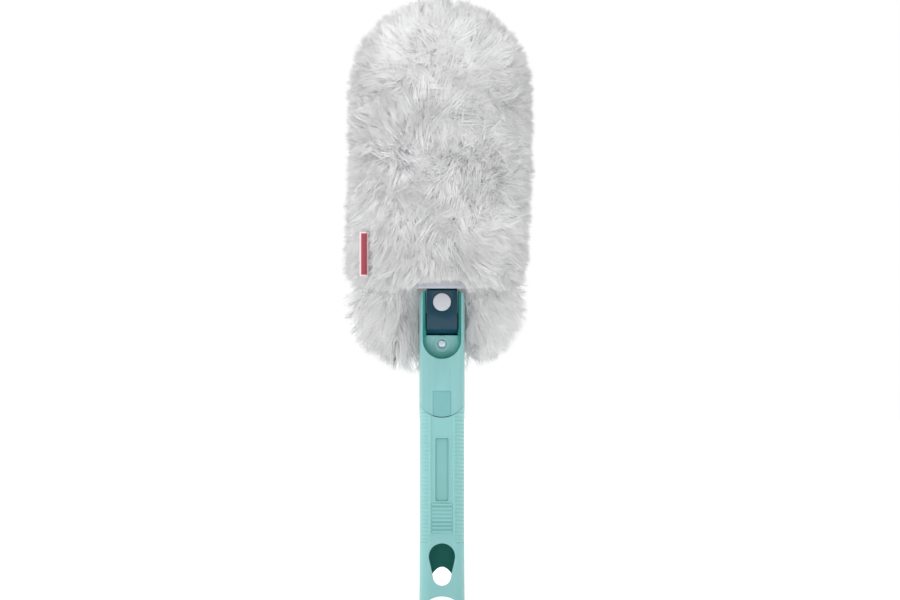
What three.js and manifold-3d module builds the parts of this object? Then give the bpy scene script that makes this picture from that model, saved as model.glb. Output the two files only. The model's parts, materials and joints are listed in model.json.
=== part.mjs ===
// Hand duster: a fleece cover on a flat paddle, a tilting head with a push-button lock, a click-on grip.
// Millimetres. +Z runs up the handle from the open end of the grip, the front faces -Y, +X is to the right.
import * as THREE from 'three';
import { mergeVertices } from 'three/addons/utils/BufferGeometryUtils.js';
import Module from 'manifold-3d';

const wasm = await Module();
wasm.setup();

// Clearances
const FIT = 0.3; // between pieces that seat in each other
const RUN = 0.35; // between pieces that move on each other
const PAST = 2; // how far a cut runs past the surface that it opens

// Handle
const HANDLE_WIDTH = 34;
const HANDLE_DEPTH = 27;
const GRIP_PANEL = 18; // width of the grip's flat front and back
const NECK_ROUNDING = 3.6; // exponent of the neck's rounded section
const GRIP_LENGTH = 143.25; // open end to the lowest point of the seam
const SEAM_RISE = 9.75; // how much higher the seam is at the sides
const END_RISE = 9.75; // height of the arch in the open end
const END_LAND = 1.5; // flat left at each side of that arch

// Grip openings and relief
const SOCKET_WALL = 2.8; // wall round the pole socket
const SOCKET_DEPTH = 58; // open end to the pole's seat
const SEAT_THICKNESS = 3.5;
const NOTCH_WIDTH = 26.4; // notch in the back wall
const NOTCH_RISE = 30;
const NOTCH_SHOULDER = 12.6; // where its straight sides end
const EGG_TOP_RADIUS = 9.85; // egg-shaped hole in the front wall
const EGG_BOTTOM_RADIUS = 6.5;
const EGG_BOTTOM = 17.7;
const EGG_LENGTH = 31.8;
const PLATE_WIDTH = 9.6; // bare recessed panel
const PLATE_BOTTOM = 81;
const PLATE_LENGTH = 47;
const PLATE_DEPTH = 0.5;
const PLATE_CORNER = 1.5;
const RIB_COUNT = 8; // thumb ribs
const RIB_BOTTOM = 57.5;
const RIB_PITCH = 2.85;
const RIB_WIDTH = 15;
const RIB_HEIGHT = 0.6;
const RIB_THICKNESS = 1.4;

// Plug between grip and neck
const PLUG_WIDTH = 26.6;
const PLUG_DEPTH = 18.6;
const PLUG_PANEL = 12;
const PLUG_REACH = 39.25; // above the lowest point of the seam
const PLUG_TAIL = 43.25; // below it
const PLUG_BORE = 6; // radius of the hollow in its tail
const PLUG_BORE_DEPTH = 34;
const LEDGE_WIDTH = 2; // ledge that the plug stands on

// Click button
const PAD_WIDTH = 12.8;
const PAD_HEIGHT = 19.5; // above the lowest point of the seam
const PAD_PROUD = 0.1;
const PAD_TRAVEL = 3;
const FLANGE_EDGE = 1.2; // how far its flange stands out round it
const FLANGE_THICKNESS = 1.2;
const FLANGE_BACKSET = 0.6; // behind the neck's inner wall
const CLICK_COIL_RADIUS = 2.6;
const CLICK_WIRE = 0.6;
const CLICK_TURNS = 3;
const CLICK_SEAT = 2.5; // depth of the spring's own hole

// Neck and its pocket
const CHEEK = 2.55; // wall at each side of the pocket
const SOCKET_WEB = 4.25; // between the plug's end and the pocket
const POCKET_DEPTH = 8.5; // front face to the pocket's floor
const KNUCKLE_DROP = 17.75; // pocket's lowest point to the knuckle
const BACK_WALL = 2.65;
const NECK_RISE = 23; // pivot to the tops of the cheeks
const CHEEK_ROUND = 8; // rounding of the cheeks, seen from the side
const SHOULDER_ROUND = 6; // the same, seen from the front
const BACK_COVER_WIDTH = 23;
const BACK_COVER_BELOW = 3; // how far it reaches below the screw's boss
const SCREW_HEIGHT = 11; // above the pocket's lowest point
const SCREW_HEAD_RADIUS = 3.35;
const SCREW_HEAD = 2.2;
const SCREW_RADIUS = 1.5;
const SCREW_BITE = 7; // length inside its boss
const BOSS_RADIUS = 3.6;
const BOSS_LENGTH = 9.3;

// Tilt joint
const FRONT_FLAT = 1.5; // how much the knuckle's barrel is cut flat in front
const HUB_RADIUS = 6;
const HUB_HEIGHT = 1.3;
const WASHER = 1;
const PIN_RADIUS = 2.5;
const PIN_SET = 0.1; // how far a pin's end lies inside the cheek's face
const PIN_END_WALL = 1.5; // between a pin and the plunger
const GROOVE_WIDTH = 4.4; // track of the plunger's nose
const GROOVE_DEPTH = 1.15;
const STOP_DEPTH = 0.45; // extra depth at each stop
const STOP_ANGLES = [0, 45, 90];

// Lock button, plunger and springs
const BUTTON_RADIUS = 6.75;
const BUTTON_HEIGHT = 14.25; // above the pivot
const BUTTON_PROUD = 1.2;
const BUTTON_THICKNESS = 3.8;
const BUTTON_TRAVEL = 2.2;
const BUTTON_WIRE = 0.45;
const BUTTON_COIL_RADIUS = 5;
const BUTTON_TURNS = 2;
const BUTTON_SPACE = 3.5; // behind the button, for its spring
const BORE_WEB = 0.7; // between that space and the plunger
const TAIL_WIDTH = 2.8;
const TAIL_BELOW = 3.5; // under the middle of the ramp
const RAMP = 0.6; // plunger lift for each millimetre of press
const PLUNGER_WIDTH = 7;
const PLUNGER_DEPTH = 6.4;
const PLUNGER_FOOT = 8.8; // pivot to the plunger's shoulder
const PLUNGER_HEAD = 5; // above the button's axis
const NOSE_RADIUS = 1.8;
const NOSE_TIP = 0.9;
const NOSE_TAPER = 1.1;
const PLUNGER_WIRE = 0.5;
const PLUNGER_COIL_RADIUS = 2.2;
const PLUNGER_TURNS = 3;
const STEPS_IN_TURN = 8; // facets of every spring
const WIRE_SIDES = 5;

// Collar and paddle
const COLLAR_DEPTH = 13;
const COLLAR_RISE = 8; // above the hem's lower edge
const COLLAR_STEP = 1; // hem's lower edge to the knuckle's shoulder
const TANG_WIDTH = 16;
const TANG_PIN_RADIUS = 1.6;
const PADDLE_THICKNESS = 6;
const PADDLE_SHOULDER = 16; // hem's lower edge to the paddle's lower edge
const PADDLE_CORNER = 20;
const PADDLE_RIM = 12.8;
const PADDLE_SPINE = 12;
const PADDLE_BAR = 9;
const PADDLE_ROWS = 4;
const PADDLE_END_RIM = 21; // solid rim at the round end
const WINDOW_CORNER = 5;

// Fleece cover
const COVER_WIDTH = 139;
const COVER_DEPTH = 64;
const COVER_ABOVE = 218; // hem's lower edge to the cover's top
const COVER_BELOW = 60.7; // hem's lower edge to the cover's bottom
const COVER_FULLNESS = 2.6; // exponent of the lower outline
const COVER_ROUNDING = 2.3; // exponent of the section
const TOP_TAPER = 45; // height over which the depth closes at the top
const BOTTOM_TAPER = 40;
const LOCK_FALL = 2.6; // how far the pile falls back between its main locks, on average
const LOCK_PITCH = 16; // from one lock to the next
const LOCK_RIM = 0.4; // share of that fall at the outline's edge
const PILE = 24.7; // pile beyond the paddle's edge
const TIER_FRONT = 5; // front of the lower tier
const HEM_WIDTH = 44;
const HEM_HEIGHT = 7.2;
const HEM_THICKNESS = 3;
const HEM_CORNER = 2.8;
const HEM_FRONT = 12; // how far in front of the middle it lies
const HANDLE_ROOM = 1.5; // beside the neck
const LABEL_HEIGHT = 33.2;
const LABEL_SHOWN = 6.7;
const LABEL_ROOT = 4.6; // part inside the pile
const LABEL_THICKNESS = 1;
const LABEL_BOTTOM = 9; // above the hem's lower edge
const LABEL_OUTER = 8.2; // cover's edge to the label's outer edge
const LABEL_FORWARD = 18.5;

// Places worked out from the sizes above
const HALF_WIDTH = HANDLE_WIDTH / 2;
const HALF_DEPTH = HANDLE_DEPTH / 2;
const SEAM_Z = GRIP_LENGTH;
const PLUG_TOP = SEAM_Z + PLUG_REACH;
const PLUG_BOTTOM = SEAM_Z - PLUG_TAIL;
const POCKET_Z = PLUG_TOP + FIT + SOCKET_WEB;
const POCKET_HALF = HALF_WIDTH - CHEEK;
const FLOOR_Y = -HALF_DEPTH + POCKET_DEPTH;
const SADDLE = HALF_DEPTH - BACK_WALL;
const BARREL = SADDLE - RUN;
const PIVOT_Z = POCKET_Z + KNUCKLE_DROP + BARREL;
const NECK_TOP = PIVOT_Z + NECK_RISE;
const SCREW_Z = POCKET_Z + SCREW_HEIGHT;
const KNUCKLE_HALF = POCKET_HALF - RUN - WASHER - RUN - HUB_HEIGHT;
const KNUCKLE_FRONT = -BARREL + FRONT_FLAT;
const BUTTON_Z = PIVOT_Z + BUTTON_HEIGHT;
const BUTTON_FRONT = KNUCKLE_FRONT - BUTTON_PROUD;
const BUTTON_BACK = BUTTON_FRONT + BUTTON_THICKNESS;
const BORE_FLOOR = BUTTON_BACK + BUTTON_SPACE;
const PLUNGER_FRONT = BORE_FLOOR + BORE_WEB + RUN;
const PLUNGER_BACK = PLUNGER_FRONT + PLUNGER_DEPTH;
const PLUNGER_TOP = BUTTON_Z + PLUNGER_HEAD;
const NOSE_REACH = SADDLE + GROOVE_DEPTH - FIT;
const SWEEP = Math.hypot(HALF_DEPTH - CHEEK_ROUND, NECK_RISE - CHEEK_ROUND) + CHEEK_ROUND + RUN;
const HEM_Z = PIVOT_Z + SWEEP;
const COLLAR_TOP = HEM_Z + COLLAR_RISE;
const KNUCKLE_TOP = HEM_Z - COLLAR_STEP;
const TANG_BOTTOM = HEM_Z + FIT;
const COVER_TOP = HEM_Z + COVER_ABOVE;
const COVER_HALF = COVER_WIDTH / 2;
const PANEL_Z = HEM_Z + HEM_HEIGHT + FIT;
const PADDLE_HALF = COVER_HALF - PILE;
const PADDLE_TOP = COVER_TOP - PILE;
const PADDLE_Z = HEM_Z + PADDLE_SHOULDER;
const ROOM_HALF = HALF_WIDTH + HANDLE_ROOM;

// Section with flat front and back panels and elliptical sides.
function panelSection(width, depth, panel) {
  const side = (width - panel) / 2;
  const shape = new THREE.Shape();
  shape.moveTo(-panel / 2, -depth / 2);
  shape.lineTo(panel / 2, -depth / 2);
  shape.absellipse(panel / 2, 0, side, depth / 2, -Math.PI / 2, Math.PI / 2);
  shape.lineTo(-panel / 2, depth / 2);
  shape.absellipse(-panel / 2, 0, side, depth / 2, Math.PI / 2, 1.5 * Math.PI);
  return shape;
}

// Point at one angle of a superellipse.
function superellipsePoint(angle, halfWidth, halfDepth, exponent) {
  const part = (value) => Math.sign(value) * Math.abs(value) ** (2 / exponent);
  return new THREE.Vector2(halfWidth * part(Math.cos(angle)), halfDepth * part(Math.sin(angle)));
}

function superellipseSection(width, depth, exponent, sides) {
  const points = [];
  for (let i = 0; i < sides; i += 1) {
    points.push(superellipsePoint((2 * Math.PI * i) / sides, width / 2, depth / 2, exponent));
  }
  return new THREE.Shape(points);
}

// Rectangle with all four corners rounded.
function roundedRectangle(left, right, bottom, top, radius, path = new THREE.Shape()) {
  path.moveTo(left + radius, bottom);
  path.lineTo(right - radius, bottom);
  path.absarc(right - radius, bottom + radius, radius, -Math.PI / 2, 0);
  path.lineTo(right, top - radius);
  path.absarc(right - radius, top - radius, radius, 0, Math.PI / 2);
  path.lineTo(left + radius, top);
  path.absarc(left + radius, top - radius, radius, Math.PI / 2, Math.PI);
  path.lineTo(left, bottom + radius);
  path.absarc(left + radius, bottom + radius, radius, Math.PI, 1.5 * Math.PI);
  return path;
}

// Closed solid made from a three.js geometry, with shared corners merged.
function solid(geometry) {
  geometry.deleteAttribute('normal');
  geometry.deleteAttribute('uv');
  const merged = mergeVertices(geometry, 1e-4);
  const corners = merged.index.array;
  const kept = [];
  for (let i = 0; i < corners.length; i += 3) {
    const [a, b, c] = corners.slice(i, i + 3);
    if (a !== b && b !== c && c !== a) kept.push(a, b, c);
  }
  const mesh = new wasm.Mesh({
    numProp: 3,
    vertProperties: new Float32Array(merged.attributes.position.array),
    triVerts: new Uint32Array(kept),
  });
  return new wasm.Manifold(mesh);
}

// Solids with one outline, run along one of the three axes.
function extruded(shape, depth, curveSegments) {
  return new THREE.ExtrudeGeometry(shape, { depth, bevelEnabled: false, curveSegments });
}

function alongZ(shape, from, to, curveSegments = 8) {
  return solid(extruded(shape, to - from, curveSegments).translate(0, 0, from));
}

function alongY(shape, from, to, curveSegments = 8) {
  return solid(extruded(shape, to - from, curveSegments).rotateX(Math.PI / 2).translate(0, to, 0));
}

function alongX(shape, from, to, curveSegments = 8) {
  const turn = new THREE.Matrix4().makeBasis(
    new THREE.Vector3(0, 1, 0),
    new THREE.Vector3(0, 0, 1),
    new THREE.Vector3(1, 0, 0),
  );
  return solid(extruded(shape, to - from, curveSegments).applyMatrix4(turn).translate(from, 0, 0));
}

function block(x, y, z) {
  const geometry = new THREE.BoxGeometry(x[1] - x[0], y[1] - y[0], z[1] - z[0]);
  return solid(geometry.translate((x[0] + x[1]) / 2, (y[0] + y[1]) / 2, (z[0] + z[1]) / 2));
}

function rodX(radius, x, y, z, sides = 24) {
  const geometry = new THREE.CylinderGeometry(radius, radius, x[1] - x[0], sides);
  return solid(geometry.rotateZ(Math.PI / 2).translate((x[0] + x[1]) / 2, y, z));
}

function rodY(radius, x, y, z, sides = 24) {
  const geometry = new THREE.CylinderGeometry(radius, radius, y[1] - y[0], sides);
  return solid(geometry.translate(x, (y[0] + y[1]) / 2, z));
}

function rodZ(radius, x, y, z, sides = 24) {
  const geometry = new THREE.CylinderGeometry(radius, radius, z[1] - z[0], sides);
  return solid(geometry.rotateX(Math.PI / 2).translate(x, y, (z[0] + z[1]) / 2));
}

// Region above (or below) the curved seam, shifted up by an offset.
function seamRegion(offset, limit) {
  const radius = (HALF_WIDTH ** 2 + SEAM_RISE ** 2) / (2 * SEAM_RISE);
  const reach = Math.asin(HALF_WIDTH / radius);
  const low = SEAM_Z + offset;
  const shape = new THREE.Shape();
  shape.moveTo(-HALF_WIDTH - PAST, limit);
  shape.lineTo(-HALF_WIDTH - PAST, low + SEAM_RISE);
  shape.absarc(0, low + radius, radius, -Math.PI / 2 - reach, -Math.PI / 2 + reach);
  shape.lineTo(HALF_WIDTH + PAST, low + SEAM_RISE);
  shape.lineTo(HALF_WIDTH + PAST, limit);
  return alongY(shape, -HALF_DEPTH - PAST, HALF_DEPTH + PAST, 24);
}

// Arch in the open end of the grip.
function endArch() {
  const half = HALF_WIDTH - END_LAND;
  const radius = (half ** 2 + END_RISE ** 2) / (2 * END_RISE);
  const reach = Math.asin(half / radius);
  const shape = new THREE.Shape();
  shape.moveTo(-half, -PAST);
  shape.lineTo(half, -PAST);
  shape.absarc(0, END_RISE - radius, radius, Math.PI / 2 - reach, Math.PI / 2 + reach);
  return alongY(shape, -HALF_DEPTH - PAST, HALF_DEPTH + PAST, 20);
}

// Deeper notch in the grip's back wall.
function backNotch() {
  const half = NOTCH_WIDTH / 2;
  const shape = new THREE.Shape();
  shape.moveTo(-half, -PAST);
  shape.lineTo(half, -PAST);
  shape.lineTo(half, NOTCH_SHOULDER);
  shape.quadraticCurveTo(0, 2 * NOTCH_RISE - NOTCH_SHOULDER, -half, NOTCH_SHOULDER);
  return alongY(shape, 0, HALF_DEPTH + PAST, 16);
}

// Egg-shaped hole in the grip's front wall, wide end up.
function eggHole() {
  const low = EGG_BOTTOM + EGG_BOTTOM_RADIUS;
  const high = EGG_BOTTOM + EGG_LENGTH - EGG_TOP_RADIUS;
  const lean = Math.asin((EGG_TOP_RADIUS - EGG_BOTTOM_RADIUS) / (high - low));
  const shape = new THREE.Shape();
  shape.absarc(0, high, EGG_TOP_RADIUS, -lean, Math.PI + lean);
  shape.absarc(0, low, EGG_BOTTOM_RADIUS, Math.PI + lean, 2 * Math.PI - lean);
  return alongY(shape, -HALF_DEPTH - PAST, 0, 12);
}

function gripShell() {
  const handleTop = SEAM_Z + SEAM_RISE + PAST;
  const inner = panelSection(
    HANDLE_WIDTH - 2 * SOCKET_WALL,
    HANDLE_DEPTH - 2 * SOCKET_WALL,
    GRIP_PANEL - SOCKET_WALL,
  );
  const plugHole = panelSection(PLUG_WIDTH + 2 * FIT, PLUG_DEPTH + 2 * FIT, PLUG_PANEL);
  const chamber = panelSection(PLUG_WIDTH - 2 * LEDGE_WIDTH, PLUG_DEPTH - 2 * LEDGE_WIDTH, PLUG_PANEL);
  let shell = alongZ(panelSection(HANDLE_WIDTH, HANDLE_DEPTH, GRIP_PANEL), 0, handleTop);
  for (let i = 0; i < RIB_COUNT; i += 1) {
    const z = RIB_BOTTOM + i * RIB_PITCH;
    const x = [-RIB_WIDTH / 2, RIB_WIDTH / 2];
    const y = [-HALF_DEPTH - RIB_HEIGHT, -HALF_DEPTH + RIB_HEIGHT];
    shell = shell.add(block(x, y, [z, z + RIB_THICKNESS]));
  }
  const plateHalf = PLATE_WIDTH / 2;
  const plateTop = PLATE_BOTTOM + PLATE_LENGTH;
  const plate = roundedRectangle(-plateHalf, plateHalf, PLATE_BOTTOM, plateTop, PLATE_CORNER);
  return shell
    .subtract(seamRegion(0, handleTop + PAST))
    .subtract(alongZ(inner, -PAST, SOCKET_DEPTH))
    .subtract(alongZ(chamber, SOCKET_DEPTH + SEAT_THICKNESS, PLUG_BOTTOM))
    .subtract(alongZ(plugHole, PLUG_BOTTOM - FIT, handleTop + PAST))
    .subtract(endArch())
    .subtract(backNotch())
    .subtract(eggHole())
    .subtract(alongY(plate, -HALF_DEPTH - PAST, -HALF_DEPTH + PLATE_DEPTH, 3));
}

// Depths of the click button's pieces, from the front.
const PAD_FRONT = -HALF_DEPTH - PAD_PROUD;
const SOCKET_FRONT = -PLUG_DEPTH / 2 - FIT;
const FLANGE_FRONT = SOCKET_FRONT + FLANGE_BACKSET;
const FLANGE_BACK = FLANGE_FRONT + FLANGE_THICKNESS;
const PAD_POCKET = FLANGE_BACK + PAD_TRAVEL + RUN;
const FLANGE_HALF = PAD_WIDTH / 2 + FLANGE_EDGE;
const PAD_TOP = SEAM_Z + PAD_HEIGHT;
const PAD_MIDDLE = SEAM_Z + PAD_HEIGHT / 2;

function gripPlug() {
  const pocket = block(
    [-FLANGE_HALF - RUN, FLANGE_HALF + RUN],
    [SOCKET_FRONT - PAST, PAD_POCKET],
    [SEAM_Z - RUN, PAD_TOP + FLANGE_EDGE + RUN],
  );
  const springHole = rodY(
    CLICK_COIL_RADIUS + CLICK_WIRE + RUN,
    0,
    [PAD_POCKET - PAST, PAD_POCKET + CLICK_SEAT],
    PAD_MIDDLE,
    16,
  );
  return alongZ(panelSection(PLUG_WIDTH, PLUG_DEPTH, PLUG_PANEL), PLUG_BOTTOM, PLUG_TOP)
    .subtract(rodZ(PLUG_BORE, 0, 0, [PLUG_BOTTOM - PAST, PLUG_BOTTOM + PLUG_BORE_DEPTH], 20))
    .subtract(pocket)
    .subtract(springHole);
}

function clickButton() {
  const half = PAD_WIDTH / 2;
  const pad = block([-half, half], [PAD_FRONT, FLANGE_FRONT + FIT], [SEAM_Z - PAST, PAD_TOP]);
  const flange = block(
    [-FLANGE_HALF, FLANGE_HALF],
    [FLANGE_FRONT, FLANGE_BACK],
    [SEAM_Z, PAD_TOP + FLANGE_EDGE],
  );
  return pad.add(flange).intersect(seamRegion(2 * FIT, PAD_TOP + PAST));
}

function neckOuter() {
  const section = superellipseSection(HANDLE_WIDTH, HANDLE_DEPTH, NECK_ROUNDING, 40);
  const front = roundedRectangle(-HALF_WIDTH, HALF_WIDTH, 0, NECK_TOP, SHOULDER_ROUND);
  const side = roundedRectangle(-HALF_DEPTH, HALF_DEPTH, 0, NECK_TOP, CHEEK_ROUND);
  return alongZ(section, SEAM_Z - PAST, NECK_TOP)
    .intersect(seamRegion(FIT, NECK_TOP + PAST))
    .intersect(alongY(front, -HALF_DEPTH - PAST, HALF_DEPTH + PAST, 5))
    .intersect(alongX(side, -HALF_WIDTH - PAST, HALF_WIDTH + PAST, 5));
}

// Room in the neck for the knuckle and its turn, and the U-shaped recess below it.
function neckPocket() {
  const x = [-POCKET_HALF, POCKET_HALF];
  const front = -HALF_DEPTH - PAST;
  const recess = new THREE.Shape();
  recess.absarc(0, POCKET_Z + POCKET_HALF, POCKET_HALF, Math.PI, 2 * Math.PI);
  recess.lineTo(POCKET_HALF, PIVOT_Z + PAST);
  recess.lineTo(-POCKET_HALF, PIVOT_Z + PAST);
  return rodX(SADDLE, x, 0, PIVOT_Z, 48)
    .add(block(x, [front, SADDLE], [PIVOT_Z, NECK_TOP + PAST]))
    .add(block(x, [front, 0], [PIVOT_Z - SADDLE, PIVOT_Z + PAST]))
    .add(alongY(recess, front, FLOOR_Y, 16));
}

// Track of the plunger's nose round the pivot, with a deeper place at each stop.
function noseTrack() {
  const half = GROOVE_WIDTH / 2;
  let track = rodX(SADDLE + GROOVE_DEPTH, [-half, half], 0, PIVOT_Z, 48);
  const depth = SADDLE + GROOVE_DEPTH + STOP_DEPTH - NOSE_RADIUS;
  for (const degrees of STOP_ANGLES) {
    const angle = THREE.MathUtils.degToRad(degrees);
    const y = depth * Math.sin(angle);
    const z = PIVOT_Z - depth * Math.cos(angle);
    track = track.add(solid(new THREE.SphereGeometry(NOSE_RADIUS, 12, 8).translate(0, y, z)));
  }
  return track;
}

// Place of the back cover, grown by a clearance.
function backCoverSpace(room) {
  const half = BACK_COVER_WIDTH / 2 + room;
  const bottom = SCREW_Z - BOSS_RADIUS - BACK_COVER_BELOW - room;
  const plate = block([-half, half], [SADDLE, HALF_DEPTH + PAST], [bottom, NECK_TOP + PAST]);
  const boss = rodY(BOSS_RADIUS + room, 0, [SADDLE - BOSS_LENGTH - room, SADDLE + FIT], SCREW_Z);
  return plate.add(boss);
}

// Leaning inner wall of one cheek: it narrows the gap beside the knuckle and fades out below it.
function cheekWall(side) {
  const outer = POCKET_HALF + FIT;
  const inner = KNUCKLE_HALF + RUN;
  const front = -HALF_DEPTH * (1 - (POCKET_HALF / HALF_WIDTH) ** NECK_ROUNDING) ** (1 / NECK_ROUNDING);
  const back = -HUB_RADIUS - 2 * RUN;
  const foot = PIVOT_Z - BARREL;
  const fade = foot - 3 * (outer - inner);
  const points = [[outer, front, fade], [outer, back, fade]];
  for (const z of [foot, NECK_TOP]) points.push([outer, front, z], [outer, back, z], [inner, back, z]);
  return wasm.Manifold.hull(points.map(([x, y, z]) => [side * x, y, z])).intersect(neckOuter());
}

function pinHole(side, radius, inner) {
  const ends = [inner, HALF_WIDTH + PAST].map((x) => side * x).sort((a, b) => a - b);
  return rodX(radius, ends, 0, PIVOT_Z, 20);
}

function neckHousing() {
  const socket = panelSection(PLUG_WIDTH + 2 * FIT, PLUG_DEPTH + 2 * FIT, PLUG_PANEL);
  const slotHalf = PAD_WIDTH / 2 + RUN;
  const padSlot = block([-slotHalf, slotHalf], [-HALF_DEPTH - PAST, 0], [SEAM_Z - PAST, PAD_TOP + RUN]);
  return neckOuter()
    .subtract(neckPocket())
    .add(cheekWall(1))
    .add(cheekWall(-1))
    .subtract(backCoverSpace(FIT))
    .subtract(alongZ(socket, SEAM_Z - PAST, PLUG_TOP + FIT))
    .subtract(padSlot)
    .subtract(noseTrack())
    .subtract(rodY(SCREW_RADIUS + FIT, 0, [FLOOR_Y - PAST, SADDLE], SCREW_Z, 16))
    .subtract(pinHole(1, PIN_RADIUS + FIT, 0))
    .subtract(pinHole(-1, PIN_RADIUS + FIT, 0));
}

function neckBackCover() {
  const bossEnd = SADDLE - BOSS_LENGTH;
  return neckOuter()
    .add(rodY(BOSS_RADIUS, 0, [bossEnd, SADDLE + FIT], SCREW_Z))
    .intersect(backCoverSpace(0))
    .subtract(noseTrack())
    .subtract(rodY(SCREW_RADIUS + FIT, 0, [bossEnd - PAST, bossEnd + SCREW_BITE + FIT], SCREW_Z, 16));
}

// Pan-head screw, head forward on the pocket's floor.
function neckScrew() {
  const length = SADDLE - BOSS_LENGTH + SCREW_BITE - FLOOR_Y;
  const profile = [
    [0, -length],
    [SCREW_RADIUS, -length],
    [SCREW_RADIUS, FIT],
    [SCREW_HEAD_RADIUS, FIT],
    [SCREW_HEAD_RADIUS, SCREW_HEAD / 2],
    [SCREW_HEAD_RADIUS - SCREW_HEAD / 2, SCREW_HEAD],
    [0, SCREW_HEAD],
  ].map(([r, y]) => new THREE.Vector2(r, y));
  return solid(new THREE.LatheGeometry(profile, 20).rotateX(Math.PI).translate(0, FLOOR_Y, SCREW_Z));
}

function pivotPin(side) {
  const ends = [PLUNGER_WIDTH / 2 + RUN + PIN_END_WALL, HALF_WIDTH - PIN_SET].map((x) => side * x);
  return rodX(PIN_RADIUS, ends.sort((a, b) => a - b), 0, PIVOT_Z, 20);
}

function frictionWasher(side) {
  const ends = [POCKET_HALF - RUN - WASHER, POCKET_HALF - RUN].map((x) => side * x).sort((a, b) => a - b);
  return rodX(HUB_RADIUS, ends, 0, PIVOT_Z).subtract(pinHole(side, PIN_RADIUS + FIT, 0));
}

// Height of the button's ramp at a depth y.
function rampTop(y) {
  return BUTTON_Z - RAMP * (y - (PLUNGER_FRONT + PLUNGER_BACK) / 2);
}

function hingeKnuckle() {
  const x = [-KNUCKLE_HALF, KNUCKLE_HALF];
  const hubs = [-KNUCKLE_HALF - HUB_HEIGHT, KNUCKLE_HALF + HUB_HEIGHT];
  const boreHalf = PLUNGER_WIDTH / 2 + RUN;
  const boreY = [PLUNGER_FRONT - RUN, PLUNGER_BACK + RUN];
  const bore = block([-boreHalf, boreHalf], boreY, [PIVOT_Z - PLUNGER_FOOT - RUN, HEM_Z + PAST]);
  const tangHalf = TANG_WIDTH / 2 + FIT;
  const tangDepth = PADDLE_THICKNESS / 2 + FIT;
  const tailHalf = TAIL_WIDTH / 2 + RUN;
  const tailSlot = block(
    [-tailHalf, tailHalf],
    [BORE_FLOOR - PAST, PLUNGER_FRONT],
    [BUTTON_Z - TAIL_BELOW - RUN, rampTop(BORE_FLOOR - BUTTON_TRAVEL) + RUN],
  );
  const collar = block(x, [-COLLAR_DEPTH / 2, COLLAR_DEPTH / 2], [KNUCKLE_TOP - FIT, COLLAR_TOP]);
  const pinInner = PLUNGER_WIDTH / 2 + RUN + PIN_END_WALL - FIT;
  return rodX(BARREL, x, 0, PIVOT_Z, 48)
    .add(block(x, [-BARREL, BARREL], [PIVOT_Z, KNUCKLE_TOP]))
    .subtract(block([x[0] - PAST, x[1] + PAST], [-BARREL - PAST, KNUCKLE_FRONT], [0, HEM_Z]))
    .add(rodX(HUB_RADIUS, hubs, 0, PIVOT_Z))
    .add(collar)
    .subtract(bore)
    .subtract(rodZ(NOSE_RADIUS + RUN, 0, 0, [PIVOT_Z - SADDLE, PIVOT_Z - PLUNGER_FOOT], 16))
    .subtract(rodY(BUTTON_RADIUS + RUN, 0, [-BARREL - PAST, BORE_FLOOR], BUTTON_Z, 32))
    .subtract(tailSlot)
    .subtract(block([-tangHalf, tangHalf], [-tangDepth, tangDepth], [HEM_Z, COLLAR_TOP + PAST]))
    .subtract(rodY(TANG_PIN_RADIUS + FIT, 0, [-COLLAR_DEPTH, COLLAR_DEPTH], tangPinZ(), 16))
    .subtract(pinHole(1, PIN_RADIUS + FIT, pinInner))
    .subtract(pinHole(-1, PIN_RADIUS + FIT, pinInner));
}

function tangPinZ() {
  return (HEM_Z + COLLAR_TOP) / 2;
}

function tangPin() {
  return rodY(TANG_PIN_RADIUS, 0, [-COLLAR_DEPTH / 2, COLLAR_DEPTH / 2], tangPinZ(), 16);
}

function lockButton() {
  const tailEnd = PLUNGER_BACK - BUTTON_TRAVEL;
  const low = BUTTON_Z - TAIL_BELOW;
  const ramp = new THREE.Shape();
  ramp.moveTo(BUTTON_BACK - FIT, low);
  ramp.lineTo(tailEnd, low);
  ramp.lineTo(tailEnd, rampTop(tailEnd));
  ramp.lineTo(BUTTON_BACK - FIT, rampTop(BUTTON_BACK - FIT));
  const cap = [
    [0, BUTTON_THICKNESS],
    [BUTTON_RADIUS, BUTTON_THICKNESS],
    [BUTTON_RADIUS, BUTTON_PROUD / 2],
    [BUTTON_RADIUS - BUTTON_PROUD / 2, 0],
    [0, 0],
  ].map(([r, y]) => new THREE.Vector2(r, BUTTON_FRONT + y));
  return solid(new THREE.LatheGeometry(cap.reverse(), 32).translate(0, 0, BUTTON_Z))
    .add(alongX(ramp, -TAIL_WIDTH / 2, TAIL_WIDTH / 2));
}

function lockPlunger() {
  const half = PLUNGER_WIDTH / 2;
  const foot = PIVOT_Z - PLUNGER_FOOT;
  const front = PLUNGER_FRONT - PAST;
  const back = PLUNGER_BACK + PAST;
  const low = BUTTON_Z - TAIL_BELOW - RAMP * BUTTON_TRAVEL - RUN;
  const window = new THREE.Shape();
  window.moveTo(front, low);
  window.lineTo(back, low);
  window.lineTo(back, rampTop(back) + RUN);
  window.lineTo(front, rampTop(front) + RUN);
  const windowHalf = TAIL_WIDTH / 2 + RUN;
  const nose = [
    [0, PIVOT_Z - NOSE_REACH],
    [NOSE_TIP, PIVOT_Z - NOSE_REACH],
    [NOSE_RADIUS, PIVOT_Z - NOSE_REACH + NOSE_TAPER],
    [NOSE_RADIUS, foot + RUN],
    [0, foot + RUN],
  ].map(([r, z]) => new THREE.Vector2(r, z));
  return block([-half, half], [PLUNGER_FRONT, PLUNGER_BACK], [foot, PLUNGER_TOP])
    .subtract(alongX(window, -windowHalf, windowHalf))
    .add(solid(new THREE.LatheGeometry(nose, 16).rotateX(Math.PI / 2)));
}

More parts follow.
